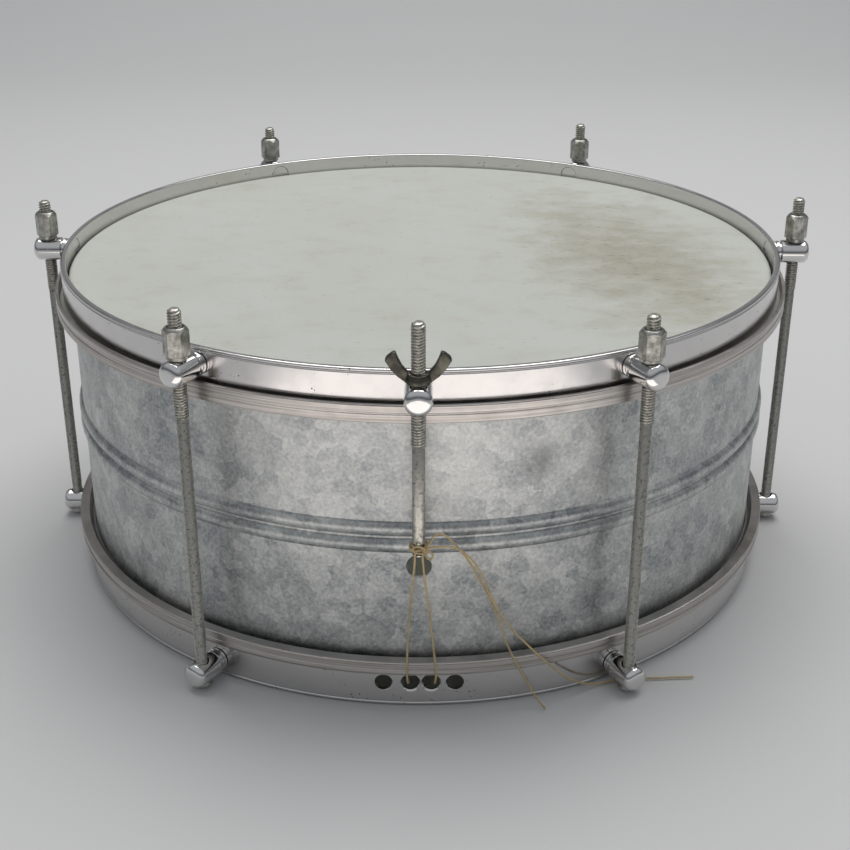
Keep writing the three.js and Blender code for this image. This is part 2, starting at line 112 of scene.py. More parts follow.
# Routes of the cord, from the drum's axis, in millimetres.
TAIL_A = [
    (5.4, -194.8, 91.6), (6.3, -195.3, 93.8), (8.0, -195.4, 94.9), (10.2, -195.2, 94.4),
    (12.5, -194.8, 92.4), (15.9, -194.0, 87.9), (18.8, -193.1, 83.6), (21.8, -192.2, 78.3),
    (25.0, -191.2, 71.3), (28.6, -189.9, 63.8), (31.8, -188.6, 55.4), (34.7, -187.2, 46.4),
    (37.1, -186.1, 38.2), (39.5, -185.3, 31.4), (42.3, -184.2, 24.8), (45.5, -183.0, 17.6),
    (48.9, -182.5, 10.6), (52.4, -183.2, 4.6), (56.1, -185.4, 0.65),
]
TAIL_B = [
    (5.0, -195.6, 88.6), (6.6, -196.3, 89.2), (9.0, -196.8, 89.5), (12.1, -196.7, 89.6),
    (15.5, -196.3, 88.6), (18.7, -195.6, 86.0), (22.1, -194.8, 82.0), (25.6, -193.8, 75.9),
    (28.4, -192.8, 68.8), (31.6, -191.5, 60.6), (36.2, -189.5, 50.4), (41.0, -187.4, 42.2),
    (46.6, -185.0, 34.6), (52.3, -182.3, 27.0), (57.6, -179.9, 20.4), (61.9, -177.9, 15.2),
    (66.0, -175.9, 10.9), (70.3, -173.4, 7.2), (74.8, -170.9, 4.0), (79.6, -168.0, 1.7),
    (84.6, -165.5, 0.75), (90.6, -163.4, 0.65), (98.4, -162.2, 0.65), (105.3, -162.0, 0.65),
    (112.0, -161.6, 0.65), (119.3, -161.1, 0.65), (126.2, -160.8, 0.65),
]
SNARE_RUN = [
    (-1.5, -196.8, 87), (-1.7, -196.7, 82.5), (-2.5, -194.8, 72.5), (-3.4, -191.9, 60),
    (-4.5, -188.6, 44), (-5.2, -186.9, 30), (-5.4, -186.5, 22), (-5.3, -186.2, 18),
    (-5.1, -184.4, 14.2), (-4.9, -181.6, 12.2), (-4.8, -178, 11.4), (-4.8, -168, 11.3),
    (-4.6, -60, 11.3), (-4.4, 60, 11.3), (-4.2, 168, 11.3), (-4.2, 178, 11.4),
    (-4.0, 182.3, 11.4), (-1.9, 184.5, 11.3), (0.7, 185.1, 11.3), (3.3, 184.5, 11.3),
    (5.4, 182.3, 11.4), (5.6, 178, 11.4), (5.8, 168, 11.3), (6.2, 60, 11.3),
    (6.5, -60, 11.3), (6.8, -168, 11.3), (6.8, -178, 11.4), (6.9, -181.6, 12.2),
    (7.0, -184.4, 14.2), (7.3, -186.2, 18), (7.4, -186.5, 22), (6.6, -186.9, 30),
    (5.3, -188.6, 44), (3.9, -191.9, 60), (2.5, -194.8, 72.5), (1.7, -196.7, 82.5),
    (1.5, -196.8, 87),
]


# ---------------------------------------------------------------- sizes and colours


def linear(code):
    """An sRGB hex colour as the linear RGBA that Blender works in."""
    channels = [int(code[i:i + 2], 16) / 255 for i in (1, 3, 5)]
    return [c / 12.92 if c <= 0.04045 else ((c + 0.055) / 1.055) ** 2.4 for c in channels] + [1.0]


def length(name, description, millimetres):
    return bpy.props.FloatProperty(
        name=name, description=description, default=millimetres * MM, min=0.0,
        precision=5, subtype="DISTANCE", unit="LENGTH")


def colour(name, description, code):
    return bpy.props.FloatVectorProperty(
        name=name, description=description, default=linear(code), size=4,
        min=0.0, max=1.0, subtype="COLOR")


class DrumSizes(bpy.types.PropertyGroup):
    shell_wall: length("Shell wall", "Thickness of the shell's sheet metal", 1.2)
    rib_height: length("Rib height", "How far the pressed ribs stand out", RIB_HEIGHT)
    rib_width: length("Rib width", "Height of each rib along the shell", 7.1)
    rib_gap: length("Rib gap", "Plain wall between the two ribs", 0.9)
    bearing_edge: length("Bearing edge", "Rounding where the wall turns in under the head", 2.0)
    flange: length("Flange", "Width of the shell's inturned flange", 8.0)
    flange_drop: length("Flange drop", "How far the flange falls away from the head", 5.0)
    vent_radius: length("Vent radius", "Radius of the air vent", 5.35)
    film: length("Film", "Thickness of a drumhead's film", 0.3)
    hoop_wall: length("Hoop wall", "Thickness of a counterhoop", 2.7)
    hoop_rim: length("Hoop rim", "Rounding of a counterhoop's outer rim", 0.8)
    snare_hole_radius: length("Snare hole radius", "Radius of the holes for the snare cord", 3.9)
    snare_hole_z: length("Snare hole height", "Height of those holes above the floor", 11.8)


class HardwareSizes(bpy.types.PropertyGroup):
    rod_radius: length("Rod radius", "Plain part of a tension rod", 2.65)
    thread_radius: length("Thread radius", "Crests of the rolled thread", 2.95)
    thread_depth: length("Thread depth", "Crest to root", 0.75)
    thread_pitch: length("Thread pitch", "Distance from crest to crest", 1.25)
    thread_length: length("Thread length", "Threaded part of a tension rod", 48.0)
    snare_thread_length: length("Snare rod thread", "Threaded part of the snare rod", 52.8)
    post_radius: length("Post radius", "Body of a post", 5.9)
    post_base: length("Post base radius", "Neck of a post against the hoop", 5.2)
    post_hole: length("Post hole radius", "Hole that the rod passes through", 3.45)
    nut_flats: length("Nut flats", "Width of a tension nut across its flats", 10.0)
    screw_head: length("Screw head radius", "Flat head inside the hoop", 5.2)


class CordSizes(bpy.types.PropertyGroup):
    diameter: length("Cord diameter", "Thickness of the waxed twine", 1.0)
    lay: length("Lay", "Length of one turn of the twine's three plies", 4.6)


class DrumColours(bpy.types.PropertyGroup):
    zinc_dark: colour("Zinc, dark", "Oxidised patches of the shell", "#868b8e")
    zinc_light: colour("Zinc, light", "Bloomed and rubbed patches of the shell", "#dedfdc")
    nickel: colour("Nickel", "Plating of the counterhoops", "#d5d3d2")
    aluminium: colour("Aluminium", "Flesh hoops", "#ccc8c4")
    chrome: colour("Chrome", "Posts", "#dddcdb")
    rod: colour("Rod", "Worn plating of the rods", "#bcbab2")
    nut: colour("Nut", "Dull plating of the tension nuts", "#b6b6b1")
    bronze: colour("Patina", "Wing nut", "#4b4a44")
    coating: colour("Head coating", "Sprayed coat on the batter head", "#dadcd8")
    stain: colour("Stick wear", "Grime beaten into the coat", "#93865e")
    twine: colour("Twine", "Waxed cord", "#d0bd92")
    backdrop: colour("Backdrop", "Floor and backdrop", "#cacaca")


# ---------------------------------------------------------------- node trees


def feed(tree, node, inputs):
    for key, value in inputs.items():
        if isinstance(value, bpy.types.NodeSocket):
            tree.links.new(value, node.inputs[key])
        else:
            node.inputs[key].default_value = value
    return node


def put(tree, kind, inputs=None, **settings):
    """A node with its settings; an input given as a socket is linked, and any other is set."""
    node = tree.nodes.new(kind)
    for key, value in settings.items():
        setattr(node, key, value)
    return feed(tree, node, inputs or {})


def new_material(name):
    material = bpy.data.materials.new(name)
    material.use_nodes = True
    tree = material.node_tree
    tree.nodes.clear()
    shader = put(tree, "ShaderNodeBsdfPrincipled")
    put(tree, "ShaderNodeOutputMaterial", {"Surface": shader.outputs["BSDF"]})
    place = put(tree, "ShaderNodeTexCoord").outputs["Object"]
    return material, tree, shader, place


def new_group(name, sockets):
    """An empty geometry tree with named inputs, and its two end nodes."""
    tree = bpy.data.node_groups.new(name, "GeometryNodeTree")
    tree.interface.new_socket("Geometry", in_out="INPUT", socket_type="NodeSocketGeometry")
    for label, kind in sockets:
        tree.interface.new_socket(label, in_out="INPUT", socket_type=f"NodeSocket{kind}")
    tree.interface.new_socket("Geometry", in_out="OUTPUT", socket_type="NodeSocketGeometry")
    return tree, tree.nodes.new("NodeGroupInput").outputs, tree.nodes.new("NodeGroupOutput")


def grown(tree, base, values):
    """The plain mesh that a geometry tree makes from a base mesh."""
    carrier = bpy.data.objects.new(tree.name, base)
    bpy.context.scene.collection.objects.link(carrier)
    modifier = carrier.modifiers.new(tree.name, "NODES")
    modifier.node_group = tree
    for item in tree.interface.items_tree:
        if item.in_out == "INPUT" and item.name in values:
            modifier[item.identifier] = values[item.name]
    return settled(carrier)


def settled(carrier):
    """An object's mesh with its modifiers taken up; the object itself goes."""
    depsgraph = bpy.context.evaluated_depsgraph_get()
    mesh = bpy.data.meshes.new_from_object(carrier.evaluated_get(depsgraph), depsgraph=depsgraph)
    bpy.data.objects.remove(carrier)
    return mesh


# ---------------------------------------------------------------- meshes


def turned(profile, segments, ring=False):
    """An outline of (radius, height) turned round Z. A ring's outline closes on itself."""
    points, rows, faces = [], [], []
    for radius, height in profile:
        if radius < 1e-7:
            rows.append([len(points)] * segments)
            points.append((0.0, 0.0, height))
            continue
        rows.append(list(range(len(points), len(points) + segments)))
        for i in range(segments):
            turn = 2 * math.pi * i / segments
            points.append((radius * math.sin(turn), -radius * math.cos(turn), height))
    for low, high in zip(rows, rows[1:] + rows[:1] if ring else rows[1:]):
        for i in range(segments):
            j = (i + 1) % segments
            corners = list(dict.fromkeys([low[i], low[j], high[j], high[i]]))
            if len(corners) > 2:
                faces.append(corners)
    return facing_out(points, faces)


def facing_out(points, faces):
    mesh = bpy.data.meshes.new("shape")
    mesh.from_pydata(points, [], faces)
    bm = bmesh.new()
    bm.from_mesh(mesh)
    bmesh.ops.recalc_face_normals(bm, faces=bm.faces)
    bm.to_mesh(mesh)
    bm.free()
    return mesh


def firm(outline, ring=False, near=0.25 * MM):
    """The outline with extra points close to the ends of its long runs, so that flats shade flat."""
    result = []
    for start, end in zip(outline, outline[1:] + outline[:1] if ring else outline[1:]):
        a, b = Vector(start), Vector(end)
        result.append(start)
        if (b - a).length > 4 * near:
            step = (b - a).normalized() * near
            result += [tuple(a + step), tuple(b - step)]
    return result if ring else result + [outline[-1]]


def bend(centre, radius, start, end, steps=5):
    """Points of an arc in an outline, angles in degrees from the outward direction."""
    angles = [math.radians(start + (end - start) * i / steps) for i in range(steps + 1)]
    return [(centre[0] + radius * math.cos(a), centre[1] + radius * math.sin(a)) for a in angles]


def box_mesh(size, centre):
    bm = bmesh.new()
    bmesh.ops.create_cube(bm, size=1.0)
    mesh = bpy.data.meshes.new("block")
    bm.to_mesh(mesh)
    bm.free()
    mesh.transform(Matrix.Translation(centre) @ Matrix.Diagonal((*size, 1.0)))
    return mesh


def moved(mesh, *matrices):
    for matrix in matrices:
        mesh.transform(matrix)
    return mesh


def joined(meshes):
    bm = bmesh.new()
    for mesh in meshes:
        bm.from_mesh(mesh)
        bpy.data.meshes.remove(mesh)
    result = bpy.data.meshes.new("joined")
    bm.to_mesh(result)
    bm.free()
    return result


def shaped(mesh, *steps):
    """A mesh with modifiers taken up. Each step is a modifier type and its settings."""
    carrier = bpy.data.objects.new("carrier", mesh)
    bpy.context.scene.collection.objects.link(carrier)
    for kind, settings in steps:
        modifier = carrier.modifiers.new(kind, kind)
        for key, value in settings.items():
            setattr(modifier, key, value)
    return settled(carrier)


def combined(mesh, other, operation):
    """A boolean of two closed meshes. The second one is used up."""
    tool = bpy.data.objects.new("tool", other)
    bpy.context.scene.collection.objects.link(tool)
    result = shaped(mesh, ("BOOLEAN", {"object": tool, "operation": operation, "solver": "EXACT"}))
    bpy.data.objects.remove(tool)
    return result


def piece(name, mesh, material, body, nodes, crease=35):
    """A finished piece, smooth up to its creases, that rides on a body in place of CAD nodes."""
    mesh.name = name
    mesh.shade_smooth()
    mesh.set_sharp_from_angle(angle=math.radians(crease))
    mesh.materials.clear()
    mesh.materials.append(material)
    obj = bpy.data.objects.new(name, mesh)
    bpy.context.scene.collection.objects.link(obj)
    if body:
        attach(obj, body)
    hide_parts(*nodes)
    return obj


TO_AXIS = Matrix.Translation((AXIS.x, AXIS.y, 0.0))
OUTWARDS = Matrix.Rotation(math.pi / 2, 4, "X")


def at_height(z):
    return Matrix.Translation((0.0, 0.0, z))


# ---------------------------------------------------------------- geometry trees


def ring_of_copies(material, count, first):
    """Copies of a front piece at even angles round the drum's axis."""
    tree, given, end = new_group("Ring of copies", [
        ("Count", "Int"), ("First angle", "Float"), ("Axis", "Vector"), ("Finish", "Material")])
    line = put(tree, "GeometryNodeMeshLine", {
        "Count": given["Count"], "Start Location": given["Axis"], "Offset": (0.0, 0.0, 0.0)})
    step = put(tree, "ShaderNodeMath", {0: math.tau, 1: given["Count"]}, operation="DIVIDE")
    index = put(tree, "GeometryNodeInputIndex")
    turn = put(tree, "ShaderNodeMath", {
        0: index.outputs["Index"], 1: step.outputs[0], 2: given["First angle"]}, operation="MULTIPLY_ADD")
    rotation = put(tree, "ShaderNodeCombineXYZ", {"Z": turn.outputs[0]})
    copies = put(tree, "GeometryNodeInstanceOnPoints", {
        "Points": line.outputs["Mesh"], "Instance": given["Geometry"], "Rotation": rotation.outputs[0]})
    real = put(tree, "GeometryNodeRealizeInstances", {"Geometry": copies.outputs["Instances"]})
    done = put(tree, "GeometryNodeSetMaterial", {
        "Geometry": real.outputs["Geometry"], "Material": given["Finish"]})
    tree.links.new(done.outputs["Geometry"], end.inputs["Geometry"])
    return tree, {"Count": count, "First angle": first, "Axis": (AXIS.x, AXIS.y, 0.0), "Finish": material}


def thread_tree():
    """A rolled thread: a rod whose skin follows one helix, with a rounded end at the top."""
    tree, given, end = new_group("Rolled thread", [
        ("Radius", "Float"), ("Depth", "Float"), ("Pitch", "Float"), ("Length", "Float"),
        ("Finish", "Material")])
    turns = put(tree, "ShaderNodeMath", {0: given["Length"], 1: given["Pitch"]}, operation="DIVIDE")
    rings = put(tree, "ShaderNodeMath", {0: turns.outputs[0], 1: 8.0}, operation="MULTIPLY")
    rod = put(tree, "GeometryNodeMeshCylinder", {
        "Vertices": 24, "Side Segments": rings.outputs[0], "Fill Segments": 3,
        "Radius": given["Radius"], "Depth": given["Length"]})
    skin = put(tree, "GeometryNodeInputPosition")
    part = put(tree, "ShaderNodeSeparateXYZ", {0: skin.outputs[0]})
    angle = put(tree, "ShaderNodeMath", {0: part.outputs["Y"], 1: part.outputs["X"]}, operation="ARCTAN2")
    climb = put(tree, "ShaderNodeMath", {0: part.outputs["Z"], 1: given["Pitch"]}, operation="DIVIDE")
    phase = put(tree, "ShaderNodeMath", {
        0: climb.outputs[0], 1: math.tau, 2: angle.outputs[0]}, operation="MULTIPLY_ADD")
    turned_back = put(tree, "ShaderNodeMath", {
        0: angle.outputs[0], 1: -2.0, 2: phase.outputs[0]}, operation="MULTIPLY_ADD")
    wave = put(tree, "ShaderNodeMath", {0: turned_back.outputs[0]}, operation="COSINE")
    hollow = put(tree, "ShaderNodeMapRange", {
        "Value": wave.outputs[0], "From Min": 0.55, "From Max": -0.8, "To Min": 0.0, "To Max": 1.0},
        interpolation_type="SMOOTHSTEP")
    half = put(tree, "ShaderNodeMath", {0: given["Length"], 1: 0.5}, operation="MULTIPLY")
    below = put(tree, "ShaderNodeMath", {0: half.outputs[0], 1: part.outputs["Z"]}, operation="SUBTRACT")
    near_end = put(tree, "ShaderNodeMapRange", {
        "Value": below.outputs[0], "From Min": 0.0, "From Max": 1.6 * MM, "To Min": 1.0, "To Max": 0.0})
    square = put(tree, "ShaderNodeMath", {0: near_end.outputs[0], 1: 2.0}, operation="POWER")
    rounding = put(tree, "ShaderNodeMath", {
        0: square.outputs[0], 1: -0.36, 2: 1.0}, operation="MULTIPLY_ADD")
    share = put(tree, "ShaderNodeMath", {0: given["Depth"], 1: given["Radius"]}, operation="DIVIDE")
    bite = put(tree, "ShaderNodeMath", {0: hollow.outputs[0], 1: share.outputs[0]}, operation="MULTIPLY")
    left = put(tree, "ShaderNodeMath", {0: rounding.outputs[0], 1: bite.outputs[0]}, operation="SUBTRACT")
    scale = put(tree, "ShaderNodeCombineXYZ", {"X": left.outputs[0], "Y": left.outputs[0], "Z": 1.0})
    placed = put(tree, "ShaderNodeVectorMath", {
        0: skin.outputs[0], 1: scale.outputs[0]}, operation="MULTIPLY")
    threaded = put(tree, "GeometryNodeSetPosition", {
        "Geometry": rod.outputs["Mesh"], "Position": placed.outputs[0]})
    both = put(tree, "GeometryNodeJoinGeometry", {"Geometry": threaded.outputs["Geometry"]})
    tree.links.new(given["Geometry"], both.inputs["Geometry"])
    real = put(tree, "GeometryNodeRealizeInstances", {"Geometry": both.outputs["Geometry"]})
    done = put(tree, "GeometryNodeSetMaterial", {
        "Geometry": real.outputs["Geometry"], "Material": given["Finish"]})
    tree.links.new(done.outputs["Geometry"], end.inputs["Geometry"])
    return tree


def twine_tree():
    """Three plies laid round each other along a line of edges, closed at both ends."""
    tree, given, end = new_group("Laid twine", [
        ("Radius", "Float"), ("Lay", "Float"), ("Step", "Float"), ("Finish", "Material")])
    line = put(tree, "GeometryNodeMeshToCurve", {"Mesh": given["Geometry"]})
    even = put(tree, "GeometryNodeResampleCurve", {
        "Curve": line.outputs["Curve"], "Length": given["Step"]}, mode="LENGTH")
    along = put(tree, "GeometryNodeSplineParameter")
    turns = put(tree, "ShaderNodeMath", {0: along.outputs["Length"], 1: given["Lay"]}, operation="DIVIDE")
    tilt = put(tree, "ShaderNodeMath", {0: turns.outputs[0], 1: math.tau}, operation="MULTIPLY")
    laid = put(tree, "GeometryNodeSetCurveTilt", {
        "Curve": even.outputs["Curve"], "Tilt": tilt.outputs[0]})
    circle = put(tree, "GeometryNodeCurvePrimitiveCircle", {"Resolution": 15, "Radius": given["Radius"]})
    skin = put(tree, "GeometryNodeInputPosition")
    part = put(tree, "ShaderNodeSeparateXYZ", {0: skin.outputs[0]})
    angle = put(tree, "ShaderNodeMath", {0: part.outputs["Y"], 1: part.outputs["X"]}, operation="ARCTAN2")
    plies = put(tree, "ShaderNodeMath", {0: angle.outputs[0], 1: 3.0}, operation="MULTIPLY")
    wave = put(tree, "ShaderNodeMath", {0: plies.outputs[0]}, operation="COSINE")
    size = put(tree, "ShaderNodeMath", {0: wave.outputs[0], 1: 0.14, 2: 0.9}, operation="MULTIPLY_ADD")
    lobed = put(tree, "ShaderNodeVectorMath", {
        0: skin.outputs[0], "Scale": size.outputs[0]}, operation="SCALE")
    section = put(tree, "GeometryNodeSetPosition", {
        "Geometry": circle.outputs["Curve"], "Position": lobed.outputs[0]})
    twine = put(tree, "GeometryNodeCurveToMesh", {
        "Curve": laid.outputs["Curve"], "Profile Curve": section.outputs["Geometry"], "Fill Caps": True})
    real = put(tree, "GeometryNodeRealizeInstances", {"Geometry": twine.outputs["Mesh"]})
    done = put(tree, "GeometryNodeSetMaterial", {
        "Geometry": real.outputs["Geometry"], "Material": given["Finish"]})
    tree.links.new(done.outputs["Geometry"], end.inputs["Geometry"])
    return tree


def route(points, step=0.5 * MM):
    """Close points along a centripetal Catmull-Rom curve through the given ones."""
    ends = [2 * points[0] - points[1], *points, 2 * points[-1] - points[-2]]
    result = [points[0].copy()]
    for a, b, c, d in zip(ends, ends[1:], ends[2:], ends[3:]):
        t1 = (b - a).length ** 0.5
        t2 = t1 + (c - b).length ** 0.5
        t3 = t2 + (d - c).length ** 0.5
        count = max(2, round((c - b).length / step))
        for i in range(1, count + 1):
            t = t1 + (t2 - t1) * i / count
            ab = a.lerp(b, t / t1)
            bc = b.lerp(c, (t - t1) / (t2 - t1))
            cd = c.lerp(d, (t - t2) / (t3 - t2))
            result.append(ab.lerp(bc, t / t2).lerp(bc.lerp(cd, (t - t1) / (t3 - t1)), (t - t1) / (t2 - t1)))
    return result


def line_mesh(points):
    mesh = bpy.data.meshes.new("line")
    mesh.from_pydata([tuple(p) for p in points], [(i, i + 1) for i in range(len(points) - 1)], [])
    return mesh


def twine_mesh(points, material):
    sizes = bpy.context.scene.drum_cord
    return grown(twine_tree(), line_mesh(points), {
        "Radius": sizes.diameter / 2, "Lay": sizes.lay, "Step": sizes.diameter / 3, "Finish": material})


# ---------------------------------------------------------------- materials


def zinc_sheet(colours):
    """Zinc-coated pressed sheet, long oxidised: a mottled blue-grey that only half shines."""
    material, tree, shader, place = new_material("Zinc plate, oxidised")
    # Clouds of 20-60 mm where damp or hands have dulled the plate.
    clouds = put(tree, "ShaderNodeTexNoise", {
        "Vector": place, "Scale": 30.0, "Detail": 4.0, "Roughness": 0.6})
    # Ragged flakes of about 6 mm: the crystals of the zinc coat.
    ragged = put(tree, "ShaderNodeTexNoise", {"Vector": place, "Scale": 190.0, "Detail": 3.0})
    pushed = put(tree, "ShaderNodeVectorMath", {
        0: ragged.outputs["Color"], 1: (0.006, 0.006, 0.006), 2: place}, operation="MULTIPLY_ADD")
    flakes = put(tree, "ShaderNodeTexVoronoi", {"Vector": pushed.outputs[0], "Scale": 170.0})
    flake = put(tree, "ShaderNodeSeparateColor", {"Color": flakes.outputs["Color"]})
    # Grain of about 1.5 mm, the bloom on the plate.
    grain = put(tree, "ShaderNodeTexNoise", {
        "Vector": place, "Scale": 620.0, "Detail": 4.0, "Roughness": 0.7})
    # Marks of 3-8 mm where the plate has gone through.
    marks = put(tree, "ShaderNodeTexNoise", {
        "Vector": place, "Scale": 130.0, "Detail": 6.0, "Roughness": 0.75})
    half_grain = put(tree, "ShaderNodeMath", {0: grain.outputs["Fac"], 1: 0.7}, operation="MULTIPLY")
    fine = put(tree, "ShaderNodeMath", {
        0: clouds.outputs["Fac"], 1: 0.55, 2: half_grain.outputs[0]}, operation="MULTIPLY_ADD")
    both = put(tree, "ShaderNodeMath", {
        0: flake.outputs[0], 1: 0.17, 2: fine.outputs[0]}, operation="MULTIPLY_ADD")
    light = put(tree, "ShaderNodeMapRange", {"Value": both.outputs[0], "From Min": 0.5, "From Max": 0.96})
    body = put(tree, "ShaderNodeMixRGB", {
        "Fac": light.outputs[0], "Color1": colours.zinc_dark, "Color2": colours.zinc_light})
    worn = put(tree, "ShaderNodeMapRange", {
        "Value": marks.outputs["Fac"], "From Min": 0.62, "From Max": 0.74, "To Max": 0.42})
    spotted = put(tree, "ShaderNodeMixRGB", {
        "Fac": worn.outputs[0], "Color1": body.outputs[0], "Color2": linear("#6a6c6c")})
    # One blackened patch, about 20 mm across, on the front right.
    aside = put(tree, "ShaderNodeVectorMath", {
        0: place, 1: (AXIS.x + 0.052, AXIS.y - 0.170, 0.117)}, operation="DISTANCE")
    near = put(tree, "ShaderNodeMath", {
        0: marks.outputs["Fac"], 1: -0.03, 2: aside.outputs["Value"]}, operation="MULTIPLY_ADD")
    patch = put(tree, "ShaderNodeMapRange", {
        "Value": near.outputs[0], "From Min": -0.003, "From Max": -0.015, "To Max": 0.55})
    tint = put(tree, "ShaderNodeMixRGB", {
        "Fac": patch.outputs[0], "Color1": spotted.outputs[0], "Color2": linear("#626463")})
    rough = put(tree, "ShaderNodeMapRange", {
        "Value": both.outputs[0], "From Min": 0.5, "From Max": 0.96, "To Min": 0.36, "To Max": 0.52})
    height = put(tree, "ShaderNodeBump", {
        "Height": grain.outputs["Fac"], "Strength": 0.16, "Distance": 0.0004})
    feed(tree, shader, {
        "Base Color": tint.outputs[0], "Metallic": 1.0, "Roughness": rough.outputs[0],
        "Normal": height.outputs["Normal"]})
    return material


def nickel_plating(colours):
    """Bright nickel over steel strip with pinholes: warm and mirror-like, freckled with dark pits."""
    material, tree, shader, place = new_material("Nickel plating, pitted")
    pits = put(tree, "ShaderNodeTexVoronoi", {"Vector": place, "Scale": 420.0, "Randomness": 1.0})
    # Pits gather in patches of 10-20 mm.
    patches = put(tree, "ShaderNodeTexNoise", {"Vector": place, "Scale": 60.0, "Detail": 3.0})
    size = put(tree, "ShaderNodeMapRange", {
        "Value": patches.outputs["Fac"], "From Min": 0.38, "From Max": 0.72, "To Min": 0.0, "To Max": 0.22})
    edge = put(tree, "ShaderNodeMath", {
        0: size.outputs[0], 1: pits.outputs["Distance"]}, operation="SUBTRACT")
    pitted = put(tree, "ShaderNodeMapRange", {
        "Value": edge.outputs[0], "From Min": 0.0, "From Max": 0.05})
    haze = put(tree, "ShaderNodeTexNoise", {
        "Vector": place, "Scale": 90.0, "Detail": 6.0, "Roughness": 0.65})
    rough = put(tree, "ShaderNodeMapRange", {
        "Value": haze.outputs["Fac"], "From Min": 0.3, "From Max": 0.75, "To Min": 0.13, "To Max": 0.3})
    tint = put(tree, "ShaderNodeMixRGB", {
        "Fac": pitted.outputs[0], "Color1": colours.nickel, "Color2": linear("#4c4843")})
    rougher = put(tree, "ShaderNodeMath", {
        0: pitted.outputs[0], 1: 0.4, 2: rough.outputs[0]}, operation="MULTIPLY_ADD")
    height = put(tree, "ShaderNodeBump", {
        "Height": pitted.outputs[0], "Strength": 0.25, "Distance": 0.0003}, invert=True)
    feed(tree, shader, {
        "Base Color": tint.outputs[0], "Metallic": 1.0, "Roughness": rougher.outputs[0],
        "Normal": height.outputs["Normal"]})
    return material


def drawn_aluminium(colours):
    """Aluminium section drawn through a die: fine lines run along the ring and the shine spreads upright."""
    material, tree, shader, place = new_material("Aluminium, drawn")
    # Die lines of about 1 mm up the face, and centimetres long round the ring.
    stretch = put(tree, "ShaderNodeVectorMath", {0: place, 1: (9.0, 9.0, 1100.0)}, operation="MULTIPLY")
    lines = put(tree, "ShaderNodeTexNoise", {
        "Vector": stretch.outputs[0], "Scale": 1.0, "Detail": 5.0, "Roughness": 0.7})
    stain = put(tree, "ShaderNodeTexNoise", {
        "Vector": place, "Scale": 110.0, "Detail": 5.0, "Roughness": 0.7})
    shade = put(tree, "ShaderNodeMapRange", {
        "Value": lines.outputs["Fac"], "From Min": 0.32, "From Max": 0.62})
    tint = put(tree, "ShaderNodeMixRGB", {
        "Fac": shade.outputs[0], "Color1": linear("#8d8680"), "Color2": colours.aluminium})
    rough = put(tree, "ShaderNodeMapRange", {
        "Value": stain.outputs["Fac"], "From Min": 0.3, "From Max": 0.7, "To Min": 0.26, "To Max": 0.44})
    height = put(tree, "ShaderNodeBump", {
        "Height": lines.outputs["Fac"], "Strength": 0.18, "Distance": 0.0002})
    feed(tree, shader, {
        "Base Color": tint.outputs[0], "Metallic": 1.0, "Roughness": rough.outputs[0],
        "Normal": height.outputs["Normal"]})
    return material


def polished_chrome(colours):
    """Chrome on turned steel, buffed: clear reflections with a few dull specks."""
    material, tree, shader, place = new_material("Chrome, polished")
    specks = put(tree, "ShaderNodeTexNoise", {
        "Vector": place, "Scale": 420.0, "Detail": 4.0, "Roughness": 0.7})
    rough = put(tree, "ShaderNodeMapRange", {
        "Value": specks.outputs["Fac"], "From Min": 0.55, "From Max": 0.75, "To Min": 0.09, "To Max": 0.34})
    feed(tree, shader, {"Base Color": colours.chrome, "Metallic": 1.0, "Roughness": rough.outputs[0]})
    return material


def worn_plating(colours):
    """Nickel-plated rod gone through to dark steel in specks: a grey-beige satin with a dark freckle."""
    material, tree, shader, place = new_material("Nickel-plated rod, worn")
    freckle = put(tree, "ShaderNodeTexNoise", {
        "Vector": place, "Scale": 700.0, "Detail": 5.0, "Roughness": 0.75})
    shade = put(tree, "ShaderNodeMapRange", {
        "Value": freckle.outputs["Fac"], "From Min": 0.5, "From Max": 0.68})
    tint = put(tree, "ShaderNodeMixRGB", {
        "Fac": shade.outputs[0], "Color1": colours.rod, "Color2": linear("#5f5d57")})
    rough = put(tree, "ShaderNodeMapRange", {
        "Value": freckle.outputs["Fac"], "From Min": 0.3, "From Max": 0.7, "To Min": 0.24, "To Max": 0.5})
    height = put(tree, "ShaderNodeBump", {
        "Height": freckle.outputs["Fac"], "Strength": 0.2, "Distance": 0.0003})
    feed(tree, shader, {
        "Base Color": tint.outputs[0], "Metallic": 1.0, "Roughness": rough.outputs[0],
        "Normal": height.outputs["Normal"]})
    return material


def dull_nickel(colours):
    """Nickel on hexagon bar, handled: a yellowed satin, rubbed brighter in places."""
    material, tree, shader, place = new_material("Nickel, dull")
    rubbed = put(tree, "ShaderNodeTexNoise", {
        "Vector": place, "Scale": 260.0, "Detail": 5.0, "Roughness": 0.7})
    shade = put(tree, "ShaderNodeMapRange", {
        "Value": rubbed.outputs["Fac"], "From Min": 0.38, "From Max": 0.66})
    tint = put(tree, "ShaderNodeMixRGB", {
        "Fac": shade.outputs[0], "Color1": linear("#807f78"), "Color2": colours.nut})
    rough = put(tree, "ShaderNodeMapRange", {
        "Value": rubbed.outputs["Fac"], "From Min": 0.3, "From Max": 0.7, "To Min": 0.42, "To Max": 0.24})
    feed(tree, shader, {"Base Color": tint.outputs[0], "Metallic": 1.0, "Roughness": rough.outputs[0]})
    return material


